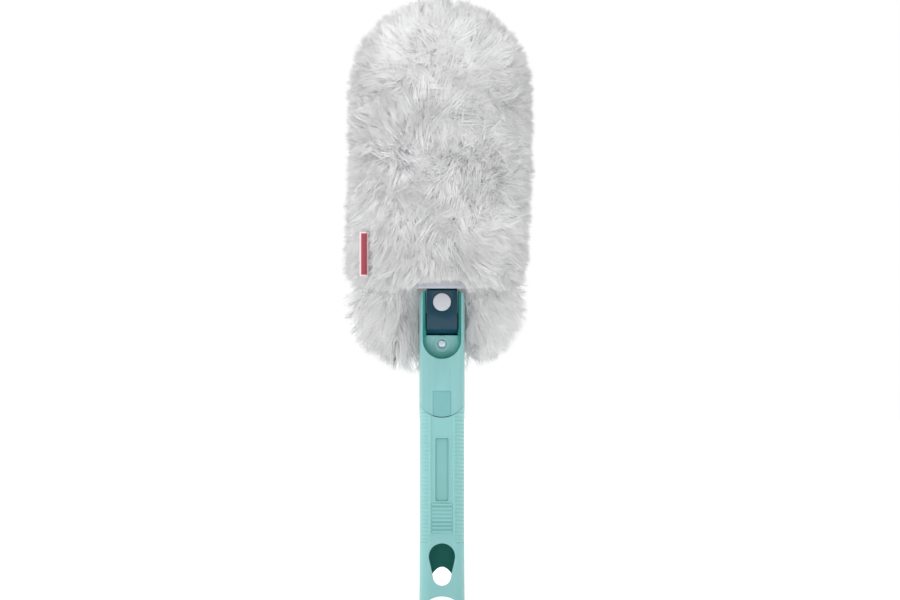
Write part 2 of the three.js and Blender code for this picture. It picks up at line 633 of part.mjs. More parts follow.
// One unbroken wire wound along +Z from the origin; prints the least gap between its turns.
class CoilCurve extends THREE.Curve {
  constructor(radius, pitch, turns) {
    super();
    this.radius = radius;
    this.pitch = pitch;
    this.turns = turns;
  }

  getPoint(t, target = new THREE.Vector3()) {
    const angle = 2 * Math.PI * this.turns * t;
    const height = this.pitch * this.turns * t;
    return target.set(this.radius * Math.cos(angle), this.radius * Math.sin(angle), height);
  }
}

function coilSpring(label, coilRadius, wire, turns, length) {
  const curve = new CoilCurve(coilRadius, (length - wire) / turns, turns);
  const steps = STEPS_IN_TURN * turns;
  const points = curve.getPoints(steps);
  let gap = Infinity;
  points.forEach((a, i) => {
    for (const b of points.slice(i + STEPS_IN_TURN / 2)) gap = Math.min(gap, a.distanceTo(b) - wire);
  });
  console.log(`${label}: least gap between turns ${gap.toFixed(2)} mm`);
  const section = superellipseSection(wire, wire, 2, WIRE_SIDES);
  const geometry = new THREE.ExtrudeGeometry(section, { steps, extrudePath: curve, bevelEnabled: false });
  return geometry.translate(0, 0, wire / 2);
}

function clickSpring() {
  const length = PAD_POCKET + CLICK_SEAT - FIT - (FLANGE_BACK + FIT);
  const wire = coilSpring('click_spring', CLICK_COIL_RADIUS, CLICK_WIRE, CLICK_TURNS, length);
  return solid(wire.rotateX(-Math.PI / 2).translate(0, FLANGE_BACK + FIT, PAD_MIDDLE));
}

function buttonSpring() {
  const length = BUTTON_SPACE - 2 * FIT;
  const wire = coilSpring('button_spring', BUTTON_COIL_RADIUS, BUTTON_WIRE, BUTTON_TURNS, length);
  return solid(wire.rotateX(-Math.PI / 2).translate(0, BUTTON_BACK + FIT, BUTTON_Z));
}

function plungerSpring() {
  const length = TANG_BOTTOM - PLUNGER_TOP - 2 * FIT;
  const wire = coilSpring('plunger_spring', PLUNGER_COIL_RADIUS, PLUNGER_WIRE, PLUNGER_TURNS, length);
  return solid(wire.translate(0, (PLUNGER_FRONT + PLUNGER_BACK) / 2, PLUNGER_TOP + FIT));
}

// Flat frame inside the cover, with a tang that the knuckle's collar holds.
function framePaddle() {
  const half = PADDLE_HALF;
  const corner = PADDLE_CORNER;
  const tang = TANG_WIDTH / 2;
  const shape = new THREE.Shape();
  shape.moveTo(-tang, TANG_BOTTOM);
  shape.lineTo(tang, TANG_BOTTOM);
  shape.lineTo(tang, PADDLE_Z);
  shape.absarc(half - corner, PADDLE_Z + corner, corner, -Math.PI / 2, 0);
  shape.absarc(0, PADDLE_TOP - half, half, 0, Math.PI);
  shape.absarc(corner - half, PADDLE_Z + corner, corner, Math.PI, 1.5 * Math.PI);
  shape.lineTo(-tang, PADDLE_Z);
  const low = PADDLE_Z + PADDLE_RIM;
  const row = (PADDLE_TOP - PADDLE_END_RIM - low + PADDLE_BAR) / PADDLE_ROWS;
  for (let i = 0; i < PADDLE_ROWS; i += 1) {
    const bottom = low + i * row;
    const inner = PADDLE_SPINE / 2;
    const outer = half - PADDLE_RIM;
    for (const [left, right] of [[-outer, -inner], [inner, outer]]) {
      const top = bottom + row - PADDLE_BAR;
      shape.holes.push(roundedRectangle(left, right, bottom, top, WINDOW_CORNER, new THREE.Path()));
    }
  }
  return alongY(shape, -PADDLE_THICKNESS / 2, PADDLE_THICKNESS / 2, 6)
    .subtract(rodY(TANG_PIN_RADIUS + FIT, 0, [-COLLAR_DEPTH, COLLAR_DEPTH], tangPinZ(), 16));
}

// Half width and half depth of the cover at a height z.
function coverReach(z) {
  const domeZ = COVER_TOP - COVER_HALF;
  const taperTop = Math.max(0, z - (COVER_TOP - TOP_TAPER)) / TOP_TAPER;
  const taperBottom = Math.max(0, HEM_Z - COVER_BELOW + BOTTOM_TAPER - z) / BOTTOM_TAPER;
  let width = COVER_HALF;
  if (z > domeZ) width = Math.sqrt(Math.max(0, COVER_HALF ** 2 - (z - domeZ) ** 2));
  if (z < HEM_Z) {
    const drop = (HEM_Z - z) / COVER_BELOW;
    width = COVER_HALF * Math.max(0, 1 - drop ** COVER_FULLNESS) ** (1 / COVER_FULLNESS);
  }
  const closing = (taper) => Math.sqrt(Math.max(0, 1 - taper ** 2));
  return [width, (COVER_DEPTH / 2) * closing(taperTop) * closing(taperBottom)];
}

// Fall of the pile between its main locks, which lie in two slanting rows that cross.
function lockFall(angle, z) {
  const rise = (Math.PI * z) / LOCK_PITCH;
  const wave = (Math.sin(rise + 8 * angle) + Math.sin(0.8 * rise - 11 * angle + 1)) / 2;
  return LOCK_FALL * (1 - wave);
}

// Heights of the rings that the fleece is lofted through.
function coverLevels() {
  const steps = 8;
  const bend = (i) => Math.sin((Math.PI * i) / (2 * steps));
  const domeZ = COVER_TOP - COVER_HALF;
  const rows = Math.ceil((2 * (domeZ - HEM_Z)) / LOCK_PITCH);
  const levels = [];
  for (let i = steps - 1; i > 0; i -= 1) levels.push(HEM_Z - COVER_BELOW * bend(i));
  for (let i = 0; i < rows; i += 1) levels.push(HEM_Z + ((domeZ - HEM_Z) * i) / rows);
  for (let i = 0; i < steps; i += 1) levels.push(domeZ + COVER_HALF * bend(i));
  return levels;
}

// Point of the fleece's surface at an angle round the section and a height z.
function coverPoint(angle, z) {
  const [width, depth] = coverReach(z);
  const point = superellipsePoint(angle, width, depth, COVER_ROUNDING);
  const out = new THREE.Vector2(point.x / width ** 2, point.y / depth ** 2).normalize();
  const share = LOCK_RIM + (1 - LOCK_RIM) * Math.abs(out.y);
  return point.addScaledVector(out, -lockFall(angle, z) * share * (width / COVER_HALF));
}

// Outer shape of the fleece, lofted through rings that follow the outline and its locks.
function coverEnvelope() {
  const sides = 48;
  const levels = coverLevels();
  const positions = [0, 0, HEM_Z - COVER_BELOW, 0, 0, COVER_TOP];
  const corners = [];
  levels.forEach((z, level) => {
    for (let j = 0; j < sides; j += 1) {
      const point = coverPoint((2 * Math.PI * j) / sides, z);
      positions.push(point.x, point.y, z);
      const here = 2 + level * sides + j;
      const next = 2 + level * sides + ((j + 1) % sides);
      if (level === 0) corners.push(0, next, here);
      if (level === levels.length - 1) corners.push(1, here, next);
      else corners.push(here, next, next + sides, here, next + sides, here + sides);
    }
  });
  const geometry = new THREE.BufferGeometry();
  geometry.setAttribute('position', new THREE.Float32BufferAttribute(positions, 3));
  geometry.setIndex(corners);
  return solid(geometry);
}

// Room inside the cover for the paddle and the knuckle's collar, open downwards so that it pulls off.
function coverPocket() {
  const half = PADDLE_HALF + RUN;
  const depth = PADDLE_THICKNESS / 2 + RUN;
  const shape = new THREE.Shape();
  shape.moveTo(-half, 0);
  shape.lineTo(half, 0);
  shape.absarc(0, PADDLE_TOP - PADDLE_HALF, half, 0, Math.PI);
  const collarHalf = KNUCKLE_HALF + 2 * RUN;
  const collarDepth = COLLAR_DEPTH / 2 + 2 * RUN;
  return alongY(shape, -depth, depth, 10)
    .add(block([-collarHalf, collarHalf], [-collarDepth, collarDepth], [0, COLLAR_TOP + 2 * RUN]));
}

// Edges of the label, seen from the front.
const LABEL_LEFT = -COVER_HALF + LABEL_OUTER;
const LABEL_RIGHT = LABEL_LEFT + LABEL_SHOWN + LABEL_ROOT;
const LABEL_Z = HEM_Z + LABEL_BOTTOM;

function labelSpace(room) {
  return block(
    [LABEL_LEFT - room, LABEL_RIGHT + room],
    [-LABEL_FORWARD - LABEL_THICKNESS - room, -LABEL_FORWARD + room],
    [LABEL_Z - room, LABEL_Z + LABEL_HEIGHT + room],
  );
}

function coverFront() {
  const far = COVER_WIDTH;
  return coverEnvelope()
    .intersect(block([-far, far], [-far, -FIT / 2], [PANEL_Z, COVER_TOP + PAST]))
    .subtract(coverPocket())
    .subtract(labelSpace(FIT));
}

// Back panel, with a lower tier behind the neck that leaves room for the neck and its turn.
function coverBack() {
  const far = COVER_WIDTH;
  const x = [-ROOM_HALF, ROOM_HALF];
  return coverEnvelope()
    .intersect(block([-far, far], [FIT / 2, far], [0, COVER_TOP + PAST]))
    .subtract(block([-far, far], [-far, TIER_FRONT], [0, PANEL_Z]))
    .subtract(coverPocket())
    .subtract(block(x, [-far, HALF_DEPTH + HANDLE_ROOM], [0, HEM_Z]))
    .subtract(rodX(SWEEP, x, 0, PIVOT_Z, 48));
}

// Soft band along the front edge of the cover's mouth.
function hemBand() {
  const band = roundedRectangle(-HEM_WIDTH / 2, HEM_WIDTH / 2, HEM_Z, HEM_Z + HEM_HEIGHT, HEM_CORNER);
  return alongY(band, -HEM_FRONT, -HEM_FRONT + HEM_THICKNESS, 5);
}

// Colours and surfaces, one function for each finish.
const mint = () => new THREE.MeshStandardMaterial({ color: 0x8fc6c4, roughness: 0.45 });
const deepMint = () => new THREE.MeshStandardMaterial({ color: 0x84bebf, roughness: 0.5 });
const petrol = () => new THREE.MeshStandardMaterial({ color: 0x2d4d5c, roughness: 0.4 });
const pale = () => new THREE.MeshStandardMaterial({ color: 0xc8cad0, roughness: 0.35 });
const nylon = () => new THREE.MeshStandardMaterial({ color: 0xd9d8d2, roughness: 0.5 });
const steel = () => new THREE.MeshStandardMaterial({ color: 0xb9bec4, roughness: 0.3, metalness: 1 });
const fleece = () => new THREE.MeshStandardMaterial({ color: 0xe4e5e7, roughness: 1 });
const tape = () => new THREE.MeshStandardMaterial({ color: 0xc3c4cd, roughness: 0.9 });
const red = () => new THREE.MeshStandardMaterial({ color: 0x9c2f3c, roughness: 0.8 });

const part = new THREE.Group();

function addPiece(name, manifold, material) {
  const { vertProperties, triVerts } = manifold.getMesh();
  const geometry = new THREE.BufferGeometry();
  geometry.setAttribute('position', new THREE.BufferAttribute(vertProperties, 3));
  geometry.setIndex(new THREE.BufferAttribute(triVerts, 1));
  geometry.computeVertexNormals();
  const mesh = new THREE.Mesh(geometry, material);
  mesh.name = name;
  part.add(mesh);
}

addPiece('grip_shell', gripShell(), mint());
addPiece('grip_plug', gripPlug(), petrol());
addPiece('click_button', clickButton(), deepMint());
addPiece('click_spring', clickSpring(), steel());
addPiece('neck_housing', neckHousing(), mint());
addPiece('neck_back_cover', neckBackCover(), mint());
addPiece('neck_screw', neckScrew(), steel());
for (const [label, side] of [['left', -1], ['right', 1]]) {
  addPiece(`pivot_pin_${label}`, pivotPin(side), steel());
  addPiece(`friction_washer_${label}`, frictionWasher(side), nylon());
}
addPiece('hinge_knuckle', hingeKnuckle(), petrol());
addPiece('lock_button', lockButton(), pale());
addPiece('lock_plunger', lockPlunger(), nylon());
addPiece('button_spring', buttonSpring(), steel());
addPiece('plunger_spring', plungerSpring(), steel());
addPiece('frame_paddle', framePaddle(), petrol());
addPiece('tang_pin', tangPin(), steel());
addPiece('cover_front', coverFront(), fleece());
addPiece('cover_back', coverBack(), fleece());
addPiece('hem_band', hemBand(), tape());
addPiece('side_label', labelSpace(0), red());

export default part;
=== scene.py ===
"""Hand duster: fleece head, tilt joint and moulded handle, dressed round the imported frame."""
import json
import logging
import math
from collections.abc import Callable, Iterable, Sequence
from dataclasses import dataclass
from enum import Enum

import bmesh
import bpy
import numpy as np
from mathutils import Matrix, Vector
from mathutils.kdtree import KDTree


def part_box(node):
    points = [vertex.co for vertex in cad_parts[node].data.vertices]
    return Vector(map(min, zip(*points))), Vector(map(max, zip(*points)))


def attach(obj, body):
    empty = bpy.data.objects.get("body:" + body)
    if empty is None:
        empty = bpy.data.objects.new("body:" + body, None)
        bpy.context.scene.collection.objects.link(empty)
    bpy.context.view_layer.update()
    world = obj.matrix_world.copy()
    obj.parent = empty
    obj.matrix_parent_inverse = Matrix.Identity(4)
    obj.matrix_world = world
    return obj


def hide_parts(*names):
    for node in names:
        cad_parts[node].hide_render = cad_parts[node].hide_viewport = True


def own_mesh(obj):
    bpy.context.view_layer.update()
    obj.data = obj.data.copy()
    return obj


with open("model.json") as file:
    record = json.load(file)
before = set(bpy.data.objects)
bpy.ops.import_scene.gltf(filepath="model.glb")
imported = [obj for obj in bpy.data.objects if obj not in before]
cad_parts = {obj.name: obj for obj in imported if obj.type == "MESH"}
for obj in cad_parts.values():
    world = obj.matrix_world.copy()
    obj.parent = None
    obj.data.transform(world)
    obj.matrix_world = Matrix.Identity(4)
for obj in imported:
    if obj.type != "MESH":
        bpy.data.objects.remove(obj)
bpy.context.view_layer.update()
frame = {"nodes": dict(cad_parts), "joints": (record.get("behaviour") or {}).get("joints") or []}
MM = 0.001
LOG = logging.getLogger("hand_duster")

Solid = bmesh.types.BMesh
Mesh = bpy.types.Mesh
Piece = bpy.types.Object
Material = bpy.types.Material
Node = bpy.types.Node
NodeTree = bpy.types.NodeTree
Socket = bpy.types.NodeSocket
Colour = tuple[float, float, float, float]
Point = tuple[float, float]
Outline = Sequence[Point]
Tuft = dict[str, np.ndarray]
Place = Callable[[float, float], Vector]
EdgeTest = Callable[[Vector], bool]
BallShape = Callable[[float, float, float], tuple[float, float, float]]
# The range that a noise texture mostly fills
NOISE_RANGE = (0.3, 0.7)
# Least angle of a sharp edge and of an edge that is rounded, in degrees
SHARP = 32.0
ROUNDED = 38.0
# Sharp angle of soft pieces, whose small facets are all smooth
SOFT = 60.0
ALL_SMOOTH = 80.0
# Distance at which points count as one, and that of the two ends of a bent grid
JOINED = 1e-6
CLOSED = 1e-7
# Least length of a vector that is scaled to 1
TINY = 1e-12


class Body(str, Enum):
    """Rigid bodies that the new pieces ride on."""

    GRIP = "grip"
    CLICK_PAD = "click_pad"
    NECK = "neck"
    HEAD = "head"
    BUTTON = "button"
    COVER = "cover"


class Axis(Enum):
    """Direction that a prism is drawn along, with the two axes of its outline."""

    Y = (0, 2, 1)
    Z = (0, 1, 2)


def linear(red: int, green: int, blue: int) -> Colour:
    """Turns an 8-bit screen colour into the linear colour that a shader takes.

    Args:
        red: Red, 0 to 255.
        green: Green, 0 to 255.
        blue: Blue, 0 to 255.

    Returns:
        Linear red, green, blue and an alpha of 1.
    """

    def one(value: int) -> float:
        """Undoes the screen's curve for one channel."""
        share = value / 255
        return share / 12.92 if share <= 0.04045 else ((share + 0.055) / 1.055) ** 2.4

    return one(red), one(green), one(blue), 1.0


class Shader:
    """A node tree with short calls that add and join its nodes."""

    def __init__(self, tree: NodeTree) -> None:
        """Keeps the tree that the calls work on."""
        self.tree = tree

    def add(self, kind: str, **values: object) -> Node:
        """Adds a node.

        Args:
            kind: Node type without its ShaderNode prefix.
            values: Node properties, set by name.

        Returns:
            The new node.
        """
        node = self.tree.nodes.new(f"ShaderNode{kind}")
        for name, value in values.items():
            setattr(node, name, value)
        return node

    def join(self, source: Socket, target: Socket) -> None:
        """Links two sockets."""
        self.tree.links.new(source, target)

    def noise(self, scale: float, detail: float = 2.0) -> Node:
        """Adds a noise on object coordinates.

        Args:
            scale: Features in a metre.
            detail: Octaves.

        Returns:
            The noise node.
        """
        place = self.add("TexCoord")
        noise = self.add("TexNoise")
        noise.inputs["Scale"].default_value = scale
        noise.inputs["Detail"].default_value = detail
        self.join(place.outputs["Object"], noise.inputs["Vector"])
        return noise

    def ramp(self, source: Socket, low: float, high: float, start: float, end: float) -> Socket:
        """Maps a value from one range onto another.

        Args:
            source: Value to map.
            low: Value that becomes start.
            high: Value that becomes end.
            start: Result at low.
            end: Result at high.

        Returns:
            The output socket of the mapping.
        """
        node = self.add("MapRange")
        for socket, value in zip(node.inputs[1:5], (low, high, start, end)):
            socket.default_value = value
        self.join(source, node.inputs[0])
        return node.outputs[0]

    def shade(self, colour: Socket, factor: Socket) -> Socket:
        """Multiplies a colour by a grey value.

        Args:
            colour: Colour socket.
            factor: Value socket.

        Returns:
            The output socket of the product.
        """
        node = self.add("VectorMath", operation="SCALE")
        self.join(colour, node.inputs[0])
        self.join(factor, node.inputs["Scale"])
        return node.outputs[0]


class ShaderGroup(Shader):
    """A shared effect: a node group with named inputs and outputs."""

    def __init__(self, name: str, inputs: dict[str, str], outputs: dict[str, str]) -> None:
        """Makes the group's sockets.

        Args:
            name: Name of the group.
            inputs: Socket name to socket type.
            outputs: Socket name to socket type.
        """
        super().__init__(bpy.data.node_groups.new(name, "ShaderNodeTree"))
        for label, kind in inputs.items():
            self.tree.interface.new_socket(label, in_out="INPUT", socket_type=f"NodeSocket{kind}")
        for label, kind in outputs.items():
            self.tree.interface.new_socket(label, in_out="OUTPUT", socket_type=f"NodeSocket{kind}")
        self.start = self.tree.nodes.new("NodeGroupInput")
        self.end = self.tree.nodes.new("NodeGroupOutput")


def mould_group() -> NodeTree:
    """Moulded plastic: painted shade in hollows, tint drift, painted highlight on edges and painted
    shade in creases, grain in gloss and height.

    Returns:
        The node group.
    """
    group = ShaderGroup(
        "moulded_surface",
        {"Color": "Color", "PaintedShade": "Color", "Drift": "Float", "Gloss": "Float", "Hollow": "Float"},
        {"Color": "Color", "Roughness": "Float", "Height": "Float"},
    )
    patches, smears, grains = 22.0, 160.0, 1400.0
    # Painted highlight on edges and painted shade in creases by pointiness; painted shade in hollows and
    # on marked faces
    pointed, edge_painted_light = (0.46, 0.56), (0.93, 1.09)
    enclosed, painted_shade_tone = (0.46, 0.78), (1.0, 0.25)
    cavity_reach, smear_share = 45 * MM, 0.14
    drift = group.noise(patches)
    spread = group.add("Math", operation="SUBTRACT")
    spread.inputs[1].default_value = 0.5
    group.join(drift.outputs[0], spread.inputs[0])
    scaled = group.add("Math", operation="MULTIPLY_ADD")
    group.join(spread.outputs[0], scaled.inputs[0])
    group.join(group.start.outputs["Drift"], scaled.inputs[1])
    geometry = group.add("NewGeometry")
    edge = group.ramp(geometry.outputs["Pointiness"], *pointed, *edge_painted_light)
    group.join(edge, scaled.inputs[2])
    # Painted shade: occluded places and marked faces are mixed towards the painted shade colour
    cavity = group.add("AmbientOcclusion", samples=8, only_local=True)
    cavity.inputs["Distance"].default_value = cavity_reach
    tone = group.add("Mix", data_type="RGBA")
    open_share = group.add("Math", operation="MULTIPLY")
    group.join(group.ramp(cavity.outputs["AO"], *enclosed, 0.0, 1.0), open_share.inputs[0])
    group.join(group.ramp(group.start.outputs["Hollow"], 0.0, 1.0, *painted_shade_tone), open_share.inputs[1])
    group.join(open_share.outputs[0], tone.inputs[0])
    group.join(group.start.outputs["PaintedShade"], tone.inputs[6])
    group.join(group.start.outputs["Color"], tone.inputs[7])
    group.join(group.shade(tone.outputs[2], scaled.outputs[0]), group.end.inputs["Color"])
    grain = group.noise(grains, detail=3.0)
    group.join(grain.outputs[0], group.end.inputs["Height"])
    smear = group.noise(smears, detail=4.0)
    rough = group.add("Math", operation="MULTIPLY_ADD")
    rough.inputs[1].default_value = smear_share
    group.join(smear.outputs[0], rough.inputs[0])
    group.join(group.start.outputs["Gloss"], rough.inputs[2])
    group.join(rough.outputs[0], group.end.inputs["Roughness"])
    return group.tree


def weave_group() -> NodeTree:
    """Plain weave in the front plane: threads across and along, as a height and a shade.

    Returns:
        The node group.
    """
    group = ShaderGroup("plain_weave", {"Threads": "Float"}, {"Height": "Float", "Shade": "Float"})
    swing, thread_tone = (-1.0, 1.0), (0.9, 1.06)
    place = group.add("TexCoord")
    parts = group.add("SeparateXYZ")
    group.join(place.outputs["Object"], parts.inputs[0])
    waves = []
    for axis in ("X", "Z"):
        turns = group.add("Math", operation="MULTIPLY")
        group.join(parts.outputs[axis], turns.inputs[0])
        group.join(group.start.outputs["Threads"], turns.inputs[1])
        wave = group.add("Math", operation="SINE")
        group.join(turns.outputs[0], wave.inputs[0])
        waves.append(wave)
    cross = group.add("Math", operation="MULTIPLY")
    for wave, socket in zip(waves, cross.inputs):
        group.join(wave.outputs[0], socket)
    group.join(group.ramp(cross.outputs[0], *swing, 0.0, 1.0), group.end.inputs["Height"])
    group.join(group.ramp(cross.outputs[0], *swing, *thread_tone), group.end.inputs["Shade"])
    return group.tree


GROUPS = {"mould": mould_group(), "weave": weave_group()}


class Finish:
    """Base of the finishes: starts a material with its shader, group and bump."""

    def start(self, name: str) -> tuple[Material, Shader, Node]:
        """Makes an empty material with one Principled shader.

        Args:
            name: Name of the material.

        Returns:
            The material, its node tree and its shader.
        """
        material = bpy.data.materials.new(name)
        material.use_nodes = True
        tree = Shader(material.node_tree)
        return material, tree, material.node_tree.nodes["Principled BSDF"]

    def place(self, tree: Shader, group: str, **values: object) -> Node:
        """Places a shared effect.

        Args:
            tree: The material's node tree.
            group: Name of the effect.
            values: Its inputs, by name.

        Returns:
            The group node.
        """
        node = tree.add("Group", node_tree=GROUPS[group])
        for name, value in values.items():
            node.inputs[name].default_value = value
        return node

    def bump(self, tree: Shader, shader: Node, height: Socket, depth: float, strength: float) -> None:
        """Feeds a height into the shader's normal.

        Args:
            tree: The material's node tree.
            shader: The Principled shader.
            height: Height socket.
            depth: Depth of the relief in metres.
            strength: Strength of the bump.
        """
        node = tree.add("Bump")
        node.inputs["Distance"].default_value = depth
        node.inputs["Strength"].default_value = strength
        tree.join(height, node.inputs["Height"])
        tree.join(node.outputs[0], shader.inputs["Normal"])


@dataclass(frozen=True)
class MouldedPlastic(Finish):
    """Injection-moulded plastic."""

    name: str
    colour: Colour
    # Painted shade colour, mixed into hollows and marked faces
    deep: Colour
    gloss: float = 0.34
    drift: float = 0.12
    grain: float = 0.05 * MM
    shine: float = 0.5
    grain_strength: float = 0.25
    ior: float = 1.49

    def material(self) -> Material:
        """Builds the material.

        Returns:
            The material.
        """
        material, tree, shader = self.start(self.name)
        effect = self.place(tree, "mould", Color=self.colour, PaintedShade=self.deep, Drift=self.drift)
        effect.inputs["Gloss"].default_value = self.gloss
        # Faces marked for painted shade, from the grip's panel recess and the walls beside the knuckle
        painted_shade_mark = tree.add("Attribute", attribute_name="painted_shade_mark")
        tree.join(painted_shade_mark.outputs["Fac"], effect.inputs["Hollow"])
        tree.join(effect.outputs["Color"], shader.inputs["Base Color"])
        tree.join(effect.outputs["Roughness"], shader.inputs["Roughness"])
        shader.inputs["IOR"].default_value = self.ior
        shader.inputs["Specular IOR Level"].default_value = self.shine
        self.bump(tree, shader, effect.outputs["Height"], self.grain, self.grain_strength)
        return material


@dataclass(frozen=True)
class PlatedSteel(Finish):
    """Plated or drawn steel with fine streaks."""

    name: str
    colour: Colour
    roughness: float = 0.3
    streaks: float = 900.0
    streak_tone: Point = (0.88, 1.05)
    streak_rough: Point = (-0.08, 0.1)
    relief: float = 0.02 * MM
    relief_strength: float = 0.3

    def material(self) -> Material:
        """Builds the material.

        Returns:
            The material.
        """
        material, tree, shader = self.start(self.name)
        streaks = tree.noise(self.streaks, detail=4.0).outputs[0]
        base = tree.add("RGB")
        base.outputs[0].default_value = self.colour
        tint = tree.shade(base.outputs[0], tree.ramp(streaks, *NOISE_RANGE, *self.streak_tone))
        tree.join(tint, shader.inputs["Base Color"])
        smooth, rough = (self.roughness + change for change in self.streak_rough)
        tree.join(tree.ramp(streaks, *NOISE_RANGE, smooth, rough), shader.inputs["Roughness"])
        shader.inputs["Metallic"].default_value = 1.0
        self.bump(tree, shader, streaks, self.relief, self.relief_strength)
        return material


@dataclass(frozen=True)
class WovenTape(Finish):
    """Woven tape, with an optional pale border round a box in the front plane."""

    name: str
    colour: Colour
    border: Colour | None = None
    middle: Point = (0.0, 0.0)
    half: Point = (1.0, 1.0)
    threads: float = 9000.0
    blur: float = 0.1 * MM
    roughness: float = 0.85
    sheen: float = 0.25
    relief: float = 0.12 * MM
    relief_strength: float = 0.5

    def material(self) -> Material:
        """Builds the material.

        Returns:
            The material.
        """
        material, tree, shader = self.start(self.name)
        weave = self.place(tree, "weave", Threads=self.threads)
        colour = tree.add("Mix", data_type="RGBA")
        colour.inputs[6].default_value = self.colour
        colour.inputs[7].default_value = self.border or self.colour
        tree.join(self.edge_mask(tree), colour.inputs[0])
        tree.join(tree.shade(colour.outputs[2], weave.outputs["Shade"]), shader.inputs["Base Color"])
        shader.inputs["Roughness"].default_value = self.roughness
        shader.inputs["Sheen Weight"].default_value = self.sheen
        self.bump(tree, shader, weave.outputs["Height"], self.relief, self.relief_strength)
        return material

    def edge_mask(self, tree: Shader) -> Socket:
        """Marks the border of the box.

        Args:
            tree: The material's node tree.

        Returns:
            A socket that is 1 on the border and 0 inside it.
        """
        place = tree.add("TexCoord")
        parts = tree.add("SeparateXYZ")
        tree.join(place.outputs["Object"], parts.inputs[0])
        sides = tree.add("Math", operation="MAXIMUM")
        for axis, centre, reach, socket in zip("XZ", self.middle, self.half, sides.inputs):
            shift = tree.add("Math", operation="SUBTRACT")
            shift.inputs[1].default_value = centre
            tree.join(parts.outputs[axis], shift.inputs[0])
            away = tree.add("Math", operation="ABSOLUTE")
            tree.join(shift.outputs[0], away.inputs[0])
            tree.join(tree.ramp(away.outputs[0], reach - self.blur, reach + self.blur, 0.0, 1.0), socket)
        return sides.outputs[0]


@dataclass(frozen=True)
class FleeceFibre(Finish):
    """Soft white fibres, coloured by the strands' shade attribute, which holds painted light and shade;
    a faint glow stands for scattered light.
    """

    name: str
    sheen: float = 0.3
    glow: float = 0.18
    glow_colour: Colour = (0.985, 0.99, 1.0, 1.0)
    clouds: float = 40.0
    cloud_tone: Point = (0.8, 1.09)
    roughness: float = 0.7
    shine: float = 0.25

    def material(self) -> Material:
        """Builds the material.

        Returns:
            The material.
        """
        material, tree, shader = self.start(self.name)
        shade = tree.add("Attribute", attribute_name="shade")
        cloud = tree.ramp(tree.noise(self.clouds).outputs[0], *NOISE_RANGE, *self.cloud_tone)
        tree.join(tree.shade(shade.outputs["Color"], cloud), shader.inputs["Base Color"])
        shader.inputs["Emission Color"].default_value = self.glow_colour
        shader.inputs["Emission Strength"].default_value = self.glow
        shader.inputs["Roughness"].default_value = self.roughness
        shader.inputs["Specular IOR Level"].default_value = self.shine
        shader.inputs["Sheen Weight"].default_value = self.sheen
        return material


@dataclass(frozen=True)
class KnitBacking(Finish):
    """Knitted backing under the pile."""

    name: str
    colour: Colour
    threads: float = 4200.0
    roughness: float = 0.95
    relief: float = 0.3 * MM
    relief_strength: float = 0.6

    def material(self) -> Material:
        """Builds the material.

        Returns:
            The material.
        """
        material, tree, shader = self.start(self.name)
        weave = self.place(tree, "weave", Threads=self.threads)
        base = tree.add("RGB")
        base.outputs[0].default_value = self.colour
        tree.join(tree.shade(base.outputs[0], weave.outputs["Shade"]), shader.inputs["Base Color"])
        shader.inputs["Roughness"].default_value = self.roughness
        self.bump(tree, shader, weave.outputs["Height"], self.relief, self.relief_strength)
        return material


def make_piece(name: str, mesh: Mesh, body: Body, material: Material) -> Piece:
    """Puts a mesh into the scene as one piece of the duster.

    Args:
        name: Name of the piece.
        mesh: Its mesh, placed in the shared frame.
        body: Body that it rides on.
        material: Its material.

    Returns:
        The piece.
    """
    mesh.materials.clear()
    mesh.materials.append(material)
    piece = bpy.data.objects.new(name, mesh)
    bpy.context.scene.collection.objects.link(piece)
    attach(piece, body.value)
    LOG.info("%s: %d faces on %s", name, len(mesh.polygons), body.value)
    return piece


def mesh_of(bm: Solid, name: str, sharp_degrees: float = SHARP) -> Mesh:
    """Turns a bmesh into a mesh with smooth faces and sharp edges by angle.

    Args:
        bm: The bmesh, which is freed.
        name: Name of the mesh.
        sharp_degrees: Least angle of a sharp edge.

    Returns:
        The mesh.
    """
    mesh = bpy.data.meshes.new(name)
    bm.to_mesh(mesh)
    bm.free()
    mesh.shade_smooth()
    mesh.set_sharp_from_angle(angle=math.radians(sharp_degrees))
    return mesh


def make_solid(
    name: str, bm: Solid, body: Body, material: Material, sharp_degrees: float = SHARP
) -> Piece:
    """Puts a bmesh into the scene as one piece of the duster.

    Args:
        name: Name of the piece.
        bm: Its shape, placed in the shared frame, which is freed.
        body: Body that it rides on.
        material: Its material.
        sharp_degrees: Least angle of a sharp edge.

    Returns:
        The piece.
    """
    return make_piece(name, mesh_of(bm, name, sharp_degrees), body, material)


def tube(around: int, along: int, place: Place) -> Solid:
    """Bends a grid into a closed tube with filled ends.

    Args:
        around: Faces round the tube.
        along: Faces along it.
        place: Gives the point at a share round and a step along.

    Returns:
        The tube.
    """
    bm = bmesh.new()
    bmesh.ops.create_grid(bm, x_segments=around, y_segments=along, size=1.0)
    for vert in bm.verts:
        column = round((vert.co.x + 1) / 2 * around)
        row = round((vert.co.y + 1) / 2 * along)
        vert.co = place(column % around / around, row)
    bmesh.ops.remove_doubles(bm, verts=bm.verts, dist=CLOSED)
    bmesh.ops.holes_fill(bm, edges=[e for e in bm.edges if e.is_boundary], sides=0)
    bmesh.ops.recalc_face_normals(bm, faces=bm.faces)
    return bm


